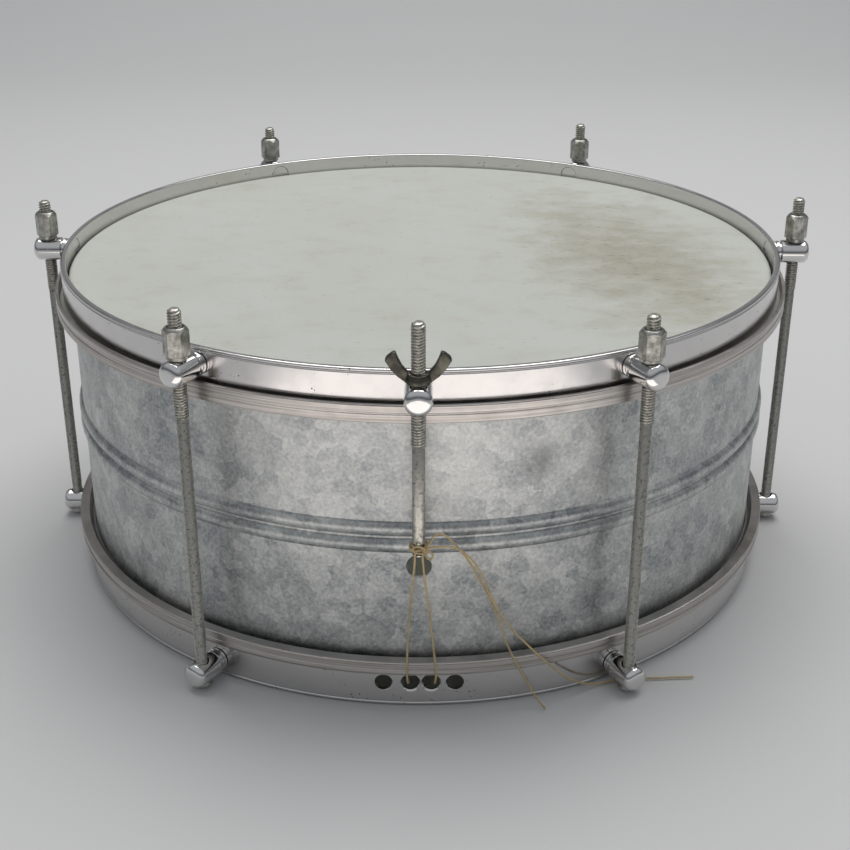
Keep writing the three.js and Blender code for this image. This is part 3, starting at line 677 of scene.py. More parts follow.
def cast_bronze(colours):
    """Sand-cast bronze under a dark patina: a grainy olive skin, paler where fingers rub it."""
    material, tree, shader, place = new_material("Bronze, cast and patinated")
    skin = put(tree, "ShaderNodeTexNoise", {
        "Vector": place, "Scale": 900.0, "Detail": 4.0, "Roughness": 0.65})
    rubbed = put(tree, "ShaderNodeTexNoise", {
        "Vector": place, "Scale": 210.0, "Detail": 4.0, "Roughness": 0.6})
    shade = put(tree, "ShaderNodeMapRange", {
        "Value": rubbed.outputs["Fac"], "From Min": 0.42, "From Max": 0.68})
    tint = put(tree, "ShaderNodeMixRGB", {
        "Fac": shade.outputs[0], "Color1": colours.bronze, "Color2": linear("#6f6d63")})
    height = put(tree, "ShaderNodeBump", {
        "Height": skin.outputs["Fac"], "Strength": 0.35, "Distance": 0.0004})
    rough = put(tree, "ShaderNodeMapRange", {
        "Value": rubbed.outputs["Fac"], "From Min": 0.3, "From Max": 0.7, "To Min": 0.5, "To Max": 0.3})
    feed(tree, shader, {
        "Base Color": tint.outputs[0], "Metallic": 1.0, "Roughness": rough.outputs[0],
        "Normal": height.outputs["Normal"]})
    return material


def coated_film(colours):
    """Polyester film with a sprayed coat: a chalky, fine-grained white, greyed where sticks land."""
    material, tree, shader, place = new_material("Polyester film, spray coated")
    # Spray grain, drawn at about 1.5 mm where the real one is finer than the eye can hold.
    spray = put(tree, "ShaderNodeTexNoise", {
        "Vector": place, "Scale": 650.0, "Detail": 3.0, "Roughness": 0.6})
    cloud = put(tree, "ShaderNodeTexNoise", {"Vector": place, "Scale": 14.0, "Detail": 4.0})
    base = put(tree, "ShaderNodeMixRGB", {
        "Fac": cloud.outputs["Fac"], "Color1": colours.coating, "Color2": linear("#cfd1c9")})
    # Stick wear: a long patch at one side, in soft blotches of 15-25 mm.
    centre = put(tree, "ShaderNodeVectorMath", {
        0: place, 1: (AXIS.x + 0.108, AXIS.y - 0.012, 0.0)}, operation="SUBTRACT")
    leaned = put(tree, "ShaderNodeVectorRotate", {
        "Vector": centre.outputs[0], "Axis": (0.0, 0.0, 1.0), "Angle": math.radians(-11)})
    oval = put(tree, "ShaderNodeVectorMath", {
        0: leaned.outputs[0], 1: (1 / 0.058, 1 / 0.15, 0.0)}, operation="MULTIPLY")
    distance = put(tree, "ShaderNodeVectorMath", {0: oval.outputs[0]}, operation="LENGTH")
    drawn = put(tree, "ShaderNodeVectorMath", {0: place, 1: (42.0, 62.0, 0.0)}, operation="MULTIPLY")
    smears = put(tree, "ShaderNodeTexNoise", {
        "Vector": drawn.outputs[0], "Scale": 1.0, "Detail": 9.0, "Roughness": 0.68, "Distortion": 0.2})
    spread = put(tree, "ShaderNodeMath", {
        0: smears.outputs["Fac"], 1: -2.3, 2: distance.outputs["Value"]}, operation="MULTIPLY_ADD")
    wear = put(tree, "ShaderNodeMapRange", {
        "Value": spread.outputs[0], "From Min": -0.1, "From Max": -1.15, "To Max": 0.46})
    # Faint rub marks all over, the same way round.
    faint = put(tree, "ShaderNodeMapRange", {
        "Value": smears.outputs["Fac"], "From Min": 0.5, "From Max": 0.7, "To Max": 0.14})
    grime = put(tree, "ShaderNodeMath", {0: wear.outputs[0], 1: faint.outputs[0]}, operation="MAXIMUM")
    beaten = put(tree, "ShaderNodeMixRGB", {
        "Fac": grime.outputs[0], "Color1": base.outputs[0], "Color2": colours.stain})
    # Dashes about 5 mm long and 1 mm wide, struck sideways, where the coat has chipped inside the patch.
    across = put(tree, "ShaderNodeVectorMath", {0: place, 1: (210.0, 760.0, 0.0)}, operation="MULTIPLY")
    chips = put(tree, "ShaderNodeTexNoise", {"Vector": across.outputs[0], "Scale": 1.0, "Detail": 2.0})
    struck = put(tree, "ShaderNodeMath", {
        0: wear.outputs[0], 1: 0.16, 2: chips.outputs["Fac"]}, operation="MULTIPLY_ADD")
    chipped = put(tree, "ShaderNodeMapRange", {
        "Value": struck.outputs[0], "From Min": 0.68, "From Max": 0.76, "To Max": 0.5})
    tint = put(tree, "ShaderNodeMixRGB", {
        "Fac": chipped.outputs[0], "Color1": beaten.outputs[0], "Color2": linear("#6d6856")})
    height = put(tree, "ShaderNodeBump", {
        "Height": spray.outputs["Fac"], "Strength": 0.14, "Distance": 0.0003})
    feed(tree, shader, {
        "Base Color": tint.outputs[0], "Roughness": 0.62, "Normal": height.outputs["Normal"]})
    # The coat holds back more light than the bare film underneath it.
    facing = put(tree, "ShaderNodeSeparateXYZ", {0: put(tree, "ShaderNodeTexCoord").outputs["Normal"]})
    share = put(tree, "ShaderNodeMapRange", {
        "Value": facing.outputs["Z"], "From Min": -0.5, "From Max": 0.5, "To Min": 0.95, "To Max": 0.36})
    let_through(tree, shader, tint.outputs[0], share.outputs[0])
    return material


def let_through(tree, shader, tint, share):
    """A share of the light comes through the film, as it does in a real drumhead."""
    glow = put(tree, "ShaderNodeBsdfTranslucent", {"Color": tint})
    mix = put(tree, "ShaderNodeMixShader", {0: share, 1: shader.outputs["BSDF"], 2: glow.outputs["BSDF"]})
    tree.links.new(mix.outputs[0], tree.nodes["Material Output"].inputs["Surface"])


def hazy_film(colours):
    """Thin clear polyester film: milky and glossy, lit through from the other side."""
    material, tree, shader, place = new_material("Polyester film, hazy")
    cloud = put(tree, "ShaderNodeTexNoise", {"Vector": place, "Scale": 20.0, "Detail": 4.0})
    tint = put(tree, "ShaderNodeMixRGB", {
        "Fac": cloud.outputs["Fac"], "Color1": linear("#b9bab6"), "Color2": linear("#d2d3cf")})
    feed(tree, shader, {"Base Color": tint.outputs[0], "Roughness": 0.28})
    let_through(tree, shader, tint.outputs[0], 0.6)
    return material


def waxed_twine(colours):
    """Laid flax twine drawn through wax: matt tan fibres with a slight polish on the plies' tops."""
    material, tree, shader, place = new_material("Flax twine, waxed")
    fibres = put(tree, "ShaderNodeTexNoise", {
        "Vector": place, "Scale": 1500.0, "Detail": 4.0, "Roughness": 0.7})
    grime = put(tree, "ShaderNodeTexNoise", {"Vector": place, "Scale": 120.0, "Detail": 3.0})
    shade = put(tree, "ShaderNodeMapRange", {
        "Value": fibres.outputs["Fac"], "From Min": 0.3, "From Max": 0.7})
    light = put(tree, "ShaderNodeMixRGB", {
        "Fac": shade.outputs[0], "Color1": linear("#a89269"), "Color2": colours.twine})
    dirt = put(tree, "ShaderNodeMapRange", {
        "Value": grime.outputs["Fac"], "From Min": 0.5, "From Max": 0.75, "To Max": 0.45})
    tint = put(tree, "ShaderNodeMixRGB", {
        "Fac": dirt.outputs[0], "Color1": light.outputs[0], "Color2": linear("#6b5a40")})
    feed(tree, shader, {"Base Color": tint.outputs[0], "Roughness": 0.58})
    return material


def plain_backdrop(colours):
    """Matt paper sweep, even and pale, so that nothing competes with the drum."""
    material, tree, shader, _ = new_material("Backdrop paper")
    feed(tree, shader, {"Base Color": colours.backdrop, "Roughness": 0.85})
    return material


FINISHES = {}


def finish_of(maker):
    """The one material that a maker gives, made the first time it is wanted."""
    key = maker.__name__
    if key not in FINISHES:
        FINISHES[key] = maker(bpy.context.scene.drum_colours)
    return FINISHES[key]


# ---------------------------------------------------------------- shapes of the pieces


def rib_outline(radius, centre, height, width):
    """A pressed half-round rib, rounded where it leaves the wall."""
    half = width / 2
    result = []
    for i in range(13):
        share = i / 12
        rise = math.sin(math.pi * share) ** 0.62
        result.append((radius + height * rise, centre - half + width * share))
    return result


def inside_of(outline, distance):
    """The same outline moved inwards by a distance, for the back of sheet metal."""
    result = []
    for i, point in enumerate(outline):
        before = Vector(outline[max(i - 1, 0)])
        after = Vector(outline[min(i + 1, len(outline) - 1)])
        run = (after - before).normalized()
        result.append((point[0] - run.y * distance, point[1] + run.x * distance))
    return result


def shell_mesh(sizes):
    radius = SHELL_RADIUS
    edge = sizes.bearing_edge
    crest = radius - edge
    centre = (SHELL_LOW + SHELL_HIGH) / 2
    rib_offset = (sizes.rib_width + sizes.rib_gap) / 2
    outline = [
        (crest - sizes.flange, SHELL_LOW + sizes.flange_drop),
        *bend((crest, SHELL_LOW + edge), edge, -115, 0, 8),
        *rib_outline(radius, centre - rib_offset, sizes.rib_height, sizes.rib_width),
        *rib_outline(radius, centre + rib_offset, sizes.rib_height, sizes.rib_width),
        *bend((crest, SHELL_HIGH - edge), edge, 0, 115, 8),
        (crest - sizes.flange, SHELL_HIGH - sizes.flange_drop),
    ]
    wall = turned(firm(outline + inside_of(outline, sizes.shell_wall)[::-1], True), ROUND_STEPS, ring=True)
    vent_z = centre - sizes.rib_gap / 2 - sizes.rib_width - 6.55 * MM
    hole = sizes.vent_radius
    cutter = turned([
        (0.0, radius - 8 * MM), (hole, radius - 8 * MM), (hole, radius - 0.35 * MM),
        (hole + 0.9 * MM, radius + 0.55 * MM), (0.0, radius + 0.55 * MM)], 48)
    moved(cutter, OUTWARDS, at_height(vent_z))
    return moved(combined(wall, cutter, "DIFFERENCE"), TO_AXIS)


def head_mesh(sizes, plane, seat, side, film_reach):
    """Film over the bearing edge, down its collar and out over the flesh hoop."""
    thick = sizes.film
    inner = SHELL_RADIUS + GAP
    outer = inner + thick
    corner = 2.0 * MM

    def at(height):
        return plane + side * height

    def arc(radius, steps=6):
        centre = (inner - corner, corner)
        turns = [math.radians(90 - 90 * i / steps) for i in range(steps + 1)]
        return [(centre[0] + radius * math.cos(t), at(centre[1] - radius * math.sin(t))) for t in turns]

    drop = abs(seat - plane)
    outline = [
        (0.0, at(0.0)),
        *arc(corner),
        (inner, at(drop)),
        (film_reach, at(drop)),
        (film_reach, at(drop - thick)),
        (outer, at(drop - thick)),
        *arc(corner + thick)[::-1],
        (0.0, at(-thick)),
    ]
    return moved(turned(firm(outline), ROUND_STEPS), TO_AXIS)


def flesh_hoop_mesh(base, height, side):
    """A drawn channel: its skirt stands outside the counterhoop, with one groove round it."""
    inner = FLESH_OUTSIDE - 6.2 * MM
    skirt = FLESH_OUTSIDE - 1.8 * MM
    outer = FLESH_OUTSIDE
    top = FLESH_SHELF - height
    soft = 0.5 * MM

    def at(distance):
        return base + side * distance

    middle_z = (FLESH_SHELF + top) / 2
    outline = [
        (inner, at(0.0)),
        (skirt, at(0.0)),
        (skirt, at(top + soft * 0.5)),
        (skirt + soft * 0.5, at(top)),
        (outer - soft, at(top)),
        (outer - soft * 0.3, at(top + soft * 0.3)),
        (outer, at(top + soft)),
        (outer, at(middle_z - 0.75 * MM)),
        (outer - 0.3 * MM, at(middle_z - 0.5 * MM)),
        (outer - 0.3 * MM, at(middle_z + 0.1 * MM)),
        (outer, at(middle_z + 0.35 * MM)),
        (outer, at(FLESH_SHELF - soft)),
        (outer - soft * 0.3, at(FLESH_SHELF - soft * 0.3)),
        (outer - soft, at(FLESH_SHELF)),
        (inner + 1.5 * MM, at(FLESH_SHELF)),
        (inner, at(1.5 * MM)),
    ]
    return moved(turned(firm(outline, True), ROUND_STEPS, ring=True), TO_AXIS)


def counterhoop_mesh(sizes, hardware, rim, end, post_z, angles, hole_places):
    """A plain strip hoop with a beaded outer rim, bored for its posts' screws and for the snare."""
    inner = HOOP_OUTSIDE - sizes.hoop_wall
    outer = HOOP_OUTSIDE
    side = 1.0 if end > rim else -1.0
    bead = sizes.hoop_rim

    def at(distance):
        return rim + side * distance

    outline = [
        (inner, end - side * 0.3 * MM),
        (inner + 0.3 * MM, end),
        (outer - 0.4 * MM, end),
        (outer - 0.1 * MM, end - side * 0.12 * MM),
        (outer, end - side * 0.4 * MM),
        (outer, at(bead * 2 + 0.55 * MM)),
        (outer - 0.08 * MM, at(bead * 2 + 0.4 * MM)),
        (outer - 0.26 * MM, at(bead * 2 + 0.25 * MM)),
        (outer - 0.26 * MM, at(bead * 2 + 0.05 * MM)),
    ]
    for i in range(9):
        turn = math.radians(-55 + i * (145 / 8))
        outline.append((outer - bead + bead * math.cos(turn), at(bead - bead * math.sin(turn))))
    for i in range(5):
        turn = math.radians(90 + i * 22.5)
        soft = bead * 0.8
        outline.append((inner + soft + soft * math.cos(turn), at(soft - soft * math.sin(turn))))
    hoop = turned(firm(outline, True), ROUND_STEPS, ring=True)
    tools = []
    head = hardware.screw_head + 0.12 * MM
    for angle in angles:
        recess = turned([
            (0.0, inner - 3 * MM), (head, inner - 3 * MM), (head, inner + 1.2 * MM),
            (2.1 * MM, inner + 1.2 * MM), (2.1 * MM, outer + 3 * MM), (0.0, outer + 3 * MM)], 32)
        turned_to = Matrix.Rotation(math.radians(angle), 4, "Z")
        tools.append(moved(recess, OUTWARDS, at_height(post_z), turned_to))
    hole = sizes.snare_hole_radius
    for sideways, angle in hole_places:
        bore = turned([
            (0.0, inner - 3 * MM), (hole + 0.6 * MM, inner - 3 * MM), (hole + 0.6 * MM, inner - 0.1 * MM),
            (hole, inner + 0.5 * MM), (hole, outer - 0.75 * MM), (hole + 0.95 * MM, outer + 0.2 * MM),
            (hole + 0.95 * MM, outer + 3 * MM), (0.0, outer + 3 * MM)], 40)
        tools.append(moved(
            bore, OUTWARDS, Matrix.Translation((sideways, 0.0, sizes.snare_hole_z)),
            Matrix.Rotation(math.radians(angle), 4, "Z")))
    return moved(combined(hoop, joined(tools), "DIFFERENCE"), TO_AXIS)


def post_mesh(sizes, z, pull):
    """A turned post at the front, bored for the rod and countersunk on the side that pulls."""
    start = HOOP_OUTSIDE + GAP
    tip = POST_TIP
    radius = sizes.post_radius
    base = sizes.post_base
    dome = 3.1 * MM
    outline = [
        (0.0, start), (base, start), (base + 0.2 * MM, start + 0.2 * MM),
        (base + 0.2 * MM, start + 1.1 * MM), (base - 0.5 * MM, start + 1.4 * MM),
        (base - 0.5 * MM, start + 1.8 * MM), (base + 0.2 * MM, start + 2.1 * MM),
        (base + 0.2 * MM, start + 3.2 * MM), (base - 0.6 * MM, start + 3.5 * MM),
        (base - 0.6 * MM, start + 4.1 * MM), (radius - 0.3 * MM, start + 4.4 * MM),
        (radius, start + 4.8 * MM),
    ]
    for i in range(15):
        turn = math.radians(90 * i / 14)
        outline.append((radius * math.cos(turn) ** 0.62, tip - dome + dome * math.sin(turn)))
    outline[-1] = (0.0, tip)
    body = moved(turned(firm(outline), 48), OUTWARDS)
    hole = sizes.post_hole
    tool = turned([
        (0.0, -1.2 * radius), (hole, -1.2 * radius), (hole, radius - 1.45 * MM),
        (hole + 1.9 * MM, radius + 0.45 * MM), (0.0, radius + 0.45 * MM)], 40)
    if pull < 0:
        tool.transform(Matrix.Rotation(math.pi, 4, "X"))
    moved(tool, Matrix.Translation((0.0, -ROD_CIRCLE, 0.0)))
    return moved(combined(body, tool, "DIFFERENCE"), at_height(z))


def screw_mesh(sizes, z):
    """A slotted flat-headed screw seen from inside the hoop."""
    face = HOOP_OUTSIDE - 2.6 * MM
    head = sizes.screw_head
    screw = turned([
        (0.0, face), (head - 0.25 * MM, face), (head, face + 0.25 * MM), (head, face + 0.8 * MM),
        (2.0 * MM, face + 0.8 * MM), (2.0 * MM, face + 8.0 * MM), (0.0, face + 8.0 * MM)], 32)
    slot = box_mesh((12 * MM, 1.3 * MM, 1.0 * MM), (0.0, 0.0, face))
    return moved(combined(screw, slot, "DIFFERENCE"), OUTWARDS, at_height(z))


def rod_mesh(tree, hardware, low, high, thread, material, outline):
    """A rod from its own bottom to its top: a plain part from an outline, then the rolled thread."""
    plain = turned(outline, 32)
    plain.transform(at_height(low - (high - thread / 2)))
    rod = grown(tree, plain, {
        "Radius": hardware.thread_radius, "Depth": hardware.thread_depth,
        "Pitch": hardware.thread_pitch, "Length": thread, "Finish": material})
    return moved(rod, at_height(high - thread / 2))


def nut_mesh(sizes):
    """A hexagon with its top corners turned off and a tapered seat, in its own frame."""
    low, high = floor_and_top("tension_nut_1")
    tall = high - low
    corner = sizes.nut_flats / math.sqrt(3)
    flats = turned([(0.0, 2.2 * MM), (corner, 2.2 * MM), (corner, tall), (0.0, tall)], 6)
    flats = shaped(flats, ("BEVEL", {"width": 0.4 * MM, "segments": 3}))
    flat = sizes.nut_flats / 2
    form = turned([
        (0.0, 2.2 * MM), (flat - 0.1 * MM, 2.2 * MM), (corner + 0.1 * MM, 2.9 * MM),
        (corner + 0.1 * MM, tall - 1.9 * MM), (flat + 0.15 * MM, tall - 1.2 * MM),
        (flat - 0.45 * MM, tall - 0.35 * MM), (flat - 1.0 * MM, tall), (0.0, tall)], 64)
    seat = turned([
        (0.0, 0.0), (3.85 * MM, 0.0), (4.6 * MM, 0.8 * MM), (4.6 * MM, 2.3 * MM), (0.0, 2.3 * MM)], 64)
    body = combined(combined(flats, form, "INTERSECT"), seat, "UNION")
    bore = turned([
        (0.0, -1.0 * MM), (3.25 * MM, -1.0 * MM), (3.25 * MM, tall - 0.5 * MM),
        (4.25 * MM, tall + 0.5 * MM), (0.0, tall + 0.5 * MM)], 40)
    return moved(combined(body, bore, "DIFFERENCE"), at_height(low))


def wing_mesh(sizes):
    """A cast wing nut: two leaning wings that flow into a hub, softened as sand casting leaves them."""
    low, high = floor_and_top("wing_nut")
    tall = high - low
    hub = turned([
        (0.0, 0.0), (4.5 * MM, 0.0), (5.1 * MM, 0.8 * MM), (5.1 * MM, 2.2 * MM),
        (4.4 * MM, 4.6 * MM), (0.0, 4.6 * MM)], 48)
    # One wing's outline, out from the axis and up from the seat: hollow inside, full outside.
    wing = [
        (1.5, 1.0), (4.8, 0.9), (7.7, 3.2), (10.3, 6.4), (12.3, 9.9), (11.7, 11.4), (9.6, 13.2),
        (8.3, 13.5), (7.4, 10.9), (5.9, 7.7), (4.0, 5.3), (1.5, 4.4)]
    stretch = tall / 13.5
    parts = [hub]
    for side in (1, -1):
        points = [(side * x * 1.07 * MM, y * MM, z * stretch) for y in (-1.35, 1.35) for x, z in wing]
        count = len(wing)
        faces = [tuple(range(count)), tuple(range(2 * count - 1, count - 1, -1))]
        faces += [(i, (i + 1) % count, count + (i + 1) % count, count + i) for i in range(count)]
        parts.append(facing_out(points, faces))
    body = shaped(
        joined(parts), ("REMESH", {"mode": "VOXEL", "voxel_size": 0.28 * MM}),
        ("SMOOTH", {"factor": 0.5, "iterations": 7}))
    bore = turned([(0.0, -1 * MM), (3.2 * MM, -1 * MM), (3.2 * MM, tall + MM), (0.0, tall + MM)], 40)
    return moved(combined(body, bore, "DIFFERENCE"), at_height(low))


# ---------------------------------------------------------------- operators


class DRUM_OT_stage(bpy.types.Operator):
    """Set up the camera, a pale floor that sweeps up behind, and soft studio light"""

    bl_idname = "drum.stage"
    bl_label = "Stage"

    def execute(self, context):
        scene = context.scene
        lens = bpy.data.cameras.new("Camera")
        lens.lens = 58.75
        lens.sensor_width = 36.0
        lens.clip_start = 0.01
        camera = bpy.data.objects.new("Camera", lens)
        camera.location = on_axis((3.0, -694.02, 371.90))
        camera.rotation_euler = Euler((math.radians(90.0 - 24.565), 0.0, math.radians(0.05)))
        scene.collection.objects.link(camera)
        scene.camera = camera

        rows = [(-6.0, -0.0005), (1.3, -0.0005)]
        for i in range(1, 25):
            turn = math.radians(90 * i / 24)
            rows.append((1.3 + 1.2 * math.sin(turn), 1.2 - 1.2005 * math.cos(turn)))
        rows.append((2.5, 4.0))
        points = [(x, y, z) for y, z in rows for x in (-7.0, 7.0)]
        faces = [(2 * i, 2 * i + 1, 2 * i + 3, 2 * i + 2) for i in range(len(rows) - 1)]
        mesh = bpy.data.meshes.new("backdrop")
        mesh.from_pydata(points, [], faces)
        mesh.shade_smooth()
        mesh.materials.append(finish_of(plain_backdrop))
        backdrop = bpy.data.objects.new("backdrop", mesh)
        scene.collection.objects.link(backdrop)

        world = bpy.data.worlds.new("Studio")
        world.use_nodes = True
        # A dim room round a bright ceiling, which gives the chrome something dark to show.
        tree = world.node_tree
        way = put(tree, "ShaderNodeTexCoord").outputs["Generated"]
        part = put(tree, "ShaderNodeSeparateXYZ", {0: way})
        rise = put(tree, "ShaderNodeMapRange", {
            "Value": part.outputs["Z"], "From Min": 0.12, "From Max": 0.5})
        room = put(tree, "ShaderNodeMixRGB", {
            "Fac": rise.outputs[0], "Color1": linear("#6c7074"), "Color2": linear("#c3c6ca")})
        feed(tree, tree.nodes["Background"], {"Color": room.outputs[0], "Strength": 0.78})
        scene.world = world
        scene.view_settings.view_transform = "Standard"

        # name, place, where it points, width, height, watts, colour
        lights = [
            ("overhead", (0.12, 0.5, 1.9), (0.05, 0.0, 0.1), 1.9, 1.4, 30.0, "#fffdfb"),
            ("low card", (0.01, -0.53, 0.012), (0.01, -0.53, 1.0), 0.62, 0.5, 0.9, "#fff6f0"),
        ]
        for name, place, target, width, height, watts, code in lights:
            lamp = bpy.data.lights.new(name, "AREA")
            lamp.shape = "RECTANGLE"
            lamp.size = width
            lamp.size_y = height
            lamp.energy = watts
            lamp.color = linear(code)[:3]
            holder = bpy.data.objects.new(name, lamp)
            holder.location = place
            holder.rotation_euler = (Vector(target) - Vector(place)).to_track_quat("-Z", "Y").to_euler()
            scene.collection.objects.link(holder)
        return {"FINISHED"}


class DRUM_OT_cords(bpy.types.Operator):
    """Lay the waxed twine: its two loose tails, the strands under the snare head and the knot"""

    bl_idname = "drum.cords"
    bl_label = "Snare cord"

    def execute(self, context):
        finish = finish_of(waxed_twine)
        for name, points in (("cord_tail_a", TAIL_A), ("cord_tail_b", TAIL_B)):
            line = route([on_axis(p) for p in points])
            tail = piece(f"{name}_twine", twine_mesh(line, finish), finish, None, [name], 60)
            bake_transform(tail)
        run = route([on_axis(p) for p in SNARE_RUN], 0.8 * MM)
        strands = piece(
            "snare_strands", twine_mesh(run, finish), finish, None, ["snare_cord"], 60)
        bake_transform(strands)
        knot = joined([twine_mesh(route(loop, 0.3 * MM), finish) for loop in knot_loops()])
        piece("snare_knot", knot, finish, "snare_rod", ["snare_cord"], 60)
        return {"FINISHED"}


def knot_loops():
    """Turns of twine round the rod's neck, two crossing turns in front and one small loop."""
    centre = Vector((SNARE_ROD.x, SNARE_ROD.y, 0.0))
    wound = []
    for i in range(3 * 16 + 1):
        turn = 2 * math.pi * i / 16
        wound.append(centre + Vector((
            2.65 * MM * math.sin(turn), -2.65 * MM * math.cos(turn), (85.9 + 3.1 * i / 48) * MM)))
    outer = []
    for i in range(2 * 16 + 1):
        turn = 2 * math.pi * i / 16 + 0.6
        lift = 87.4 + 1.5 * math.sin(turn * 0.5 + 0.4)
        outer.append(centre + Vector((3.7 * MM * math.sin(turn), -3.7 * MM * math.cos(turn), lift * MM)))
    crossing = [on_axis(p) for p in (
        (-1.5, -196.8, 87.0), (-2.6, -197.4, 88.6), (-1.2, -198.0, 90.3), (1.6, -198.0, 89.6),
        (2.9, -197.2, 87.6), (1.5, -197.0, 86.0))]
    bight = [on_axis(p) for p in (
        (1.5, -196.8, 87.0), (2.6, -196.9, 88.0), (4.6, -196.3, 87.0), (5.8, -196.0, 84.9),
        (4.9, -196.2, 83.3), (3.4, -196.6, 84.4), (3.0, -197.0, 86.6), (3.6, -196.6, 88.4),
        (5.0, -195.6, 88.6))]
    rise = [on_axis(p) for p in ((2.6, -196.6, 86.6), (3.6, -196.2, 89.0), (5.4, -194.8, 91.6))]
    return [wound, outer, crossing, bight, rise]


class DRUM_OT_shell(bpy.types.Operator):
    """Press the shell: bearing edges, flanges, two ribs and the air vent"""

    bl_idname = "drum.shell"
    bl_label = "Shell"

    def execute(self, context):
        mesh = shell_mesh(context.scene.drum_sizes)
        piece("shell_sheet", mesh, finish_of(zinc_sheet), "drum", ["shell"], 30)
        return {"FINISHED"}


class DRUM_OT_heads(bpy.types.Operator):
    """Stretch both heads: the coated batter film and the hazy snare-side film"""

    bl_idname = "drum.heads"
    bl_label = "Heads"

    def execute(self, context):
        sizes = context.scene.drum_sizes
        rows = [
            ("batter_head", SHELL_HIGH + GAP, -1, coated_film, "batter_film"),
            ("snare_head", SHELL_LOW - GAP, 1, hazy_film, "snare_film"),
        ]
        for node, plane, side, maker, slot in rows:
            low, high = floor_and_top(node)
            seat = low if side < 0 else high
            mesh = head_mesh(sizes, plane, seat, side, reach(node))
            piece(f"{node}_film", mesh, finish_of(maker), "drum", [node], 40)
        return {"FINISHED"}


class DRUM_OT_flesh_hoops(bpy.types.Operator):
    """Draw the two flesh hoops that the heads are tucked into"""

    bl_idname = "drum.flesh_hoops"
    bl_label = "Flesh hoops"

    def execute(self, context):
        for node, side in (("batter_flesh_hoop", -1), ("snare_flesh_hoop", 1)):
            low, high = floor_and_top(node)
            base = low + FLESH_SHELF if side < 0 else high - FLESH_SHELF
            mesh = flesh_hoop_mesh(base, high - low, side)
            piece(
                f"{node}_drawn", mesh, finish_of(drawn_aluminium), "drum", [node],
                25)
        return {"FINISHED"}


class DRUM_OT_counterhoops(bpy.types.Operator):
    """Roll the two counterhoops and bore them for the posts' screws and the snare cord"""

    bl_idname = "drum.counterhoops"
    bl_label = "Counterhoops"

    def execute(self, context):
        sizes = context.scene.drum_sizes
        hardware = context.scene.drum_hardware
        holes = [(sideways * MM, angle) for angle in (0, 180) for sideways in (-16.0, -4.0, 5.4, 16.0)]
        holes = [(x if angle == 0 else -x, angle) for x, angle in holes]
        stations = [math.degrees(FIRST_STATION) + 60 * i for i in range(6)]
        low, high = floor_and_top("batter_counterhoop")
        upper = counterhoop_mesh(sizes, hardware, high, low, UPPER_POST_Z, [0, *stations], [])
        piece("batter_counterhoop_strip", upper, finish_of(nickel_plating), "drum",
              ["batter_counterhoop"], 30)
        low, high = floor_and_top("snare_counterhoop")
        lower = counterhoop_mesh(sizes, hardware, low, high, LOWER_POST_Z, stations, holes)
        piece("snare_counterhoop_strip", lower, finish_of(nickel_plating), "drum",
              ["snare_counterhoop"], 30)
        return {"FINISHED"}


def placed_round(front, material, count, first):
    tree, values = ring_of_copies(material, count, first)
    return grown(tree, front, values)


def thirteen(upper, lower, material):
    """The snare rod's own piece and the six round each counterhoop, as one mesh."""
    single = placed_round(upper.copy(), material, 1, 0.0)
    rings = [placed_round(mesh, material, 6, FIRST_STATION) for mesh in (upper, lower)]
    return joined([single, *rings])


class DRUM_OT_posts(bpy.types.Operator):
    """Turn the thirteen posts and set them round both counterhoops"""

    bl_idname = "drum.posts"
    bl_label = "Posts"

    def execute(self, context):
        sizes = context.scene.drum_hardware
        finish = finish_of(polished_chrome)
        upper = post_mesh(sizes, UPPER_POST_Z, 1)
        lower = post_mesh(sizes, LOWER_POST_Z, -1)
        nodes = [f"{kind}_{i}" for kind in ("batter_post", "snare_side_post") for i in STATIONS]
        piece("posts_turned", thirteen(upper, lower, finish), finish, "drum",
              [*nodes, "snare_rod_post"], 30)
        return {"FINISHED"}


class DRUM_OT_screws(bpy.types.Operator):
    """Drive the flat-headed screws that hold the posts from inside the counterhoops"""

    bl_idname = "drum.screws"
    bl_label = "Post screws"

    def execute(self, context):
        sizes = context.scene.drum_hardware
        finish = finish_of(nickel_plating)
        upper = screw_mesh(sizes, UPPER_POST_Z)
        lower = screw_mesh(sizes, LOWER_POST_Z)
        nodes = [f"{kind}_screw_{i}" for kind in ("batter_post", "snare_side_post") for i in STATIONS]
        piece("post_screws_slotted", thirteen(upper, lower, finish), finish, "drum",
              [*nodes, "snare_rod_post_screw"], 30)
        return {"FINISHED"}


class DRUM_OT_rods(bpy.types.Operator):
    """Roll the thread on the six tension rods and hang them between the posts"""

    bl_idname = "drum.rods"
    bl_label = "Tension rods"

    def execute(self, context):
        hardware = context.scene.drum_hardware
        finish = finish_of(worn_plating)
        tree = thread_tree()
        radius = hardware.rod_radius
        head = hardware.post_hole + 0.85 * MM
        under = LOWER_POST_Z - hardware.post_radius
        rods = []
        for i in STATIONS:
            low, high = floor_and_top(f"tension_rod_{i}")
            joint = high - low - hardware.thread_length + 0.6 * MM
            outline = [
                (0.0, 0.0), (radius - 0.6 * MM, 0.0), (radius - 0.2 * MM, 0.4 * MM),
                (radius - 0.2 * MM, under - 0.3 * MM - low), (head, under - 0.3 * MM - low),
                (head, under + 0.3 * MM - low), (radius, under + 1.75 * MM - low),
                (radius, joint - 0.5 * MM), (radius - 0.35 * MM, joint), (0.0, joint)]
            rod = rod_mesh(tree, hardware, low, high, hardware.thread_length, finish, outline)
            spot = middle(f"tension_rod_{i}")
            rods.append(moved(rod, Matrix.Translation((spot.x, spot.y, 0.0))))
        piece("tension_rods_threaded", joined(rods), finish, "drum",
              [f"tension_rod_{i}" for i in STATIONS], 50)
        return {"FINISHED"}


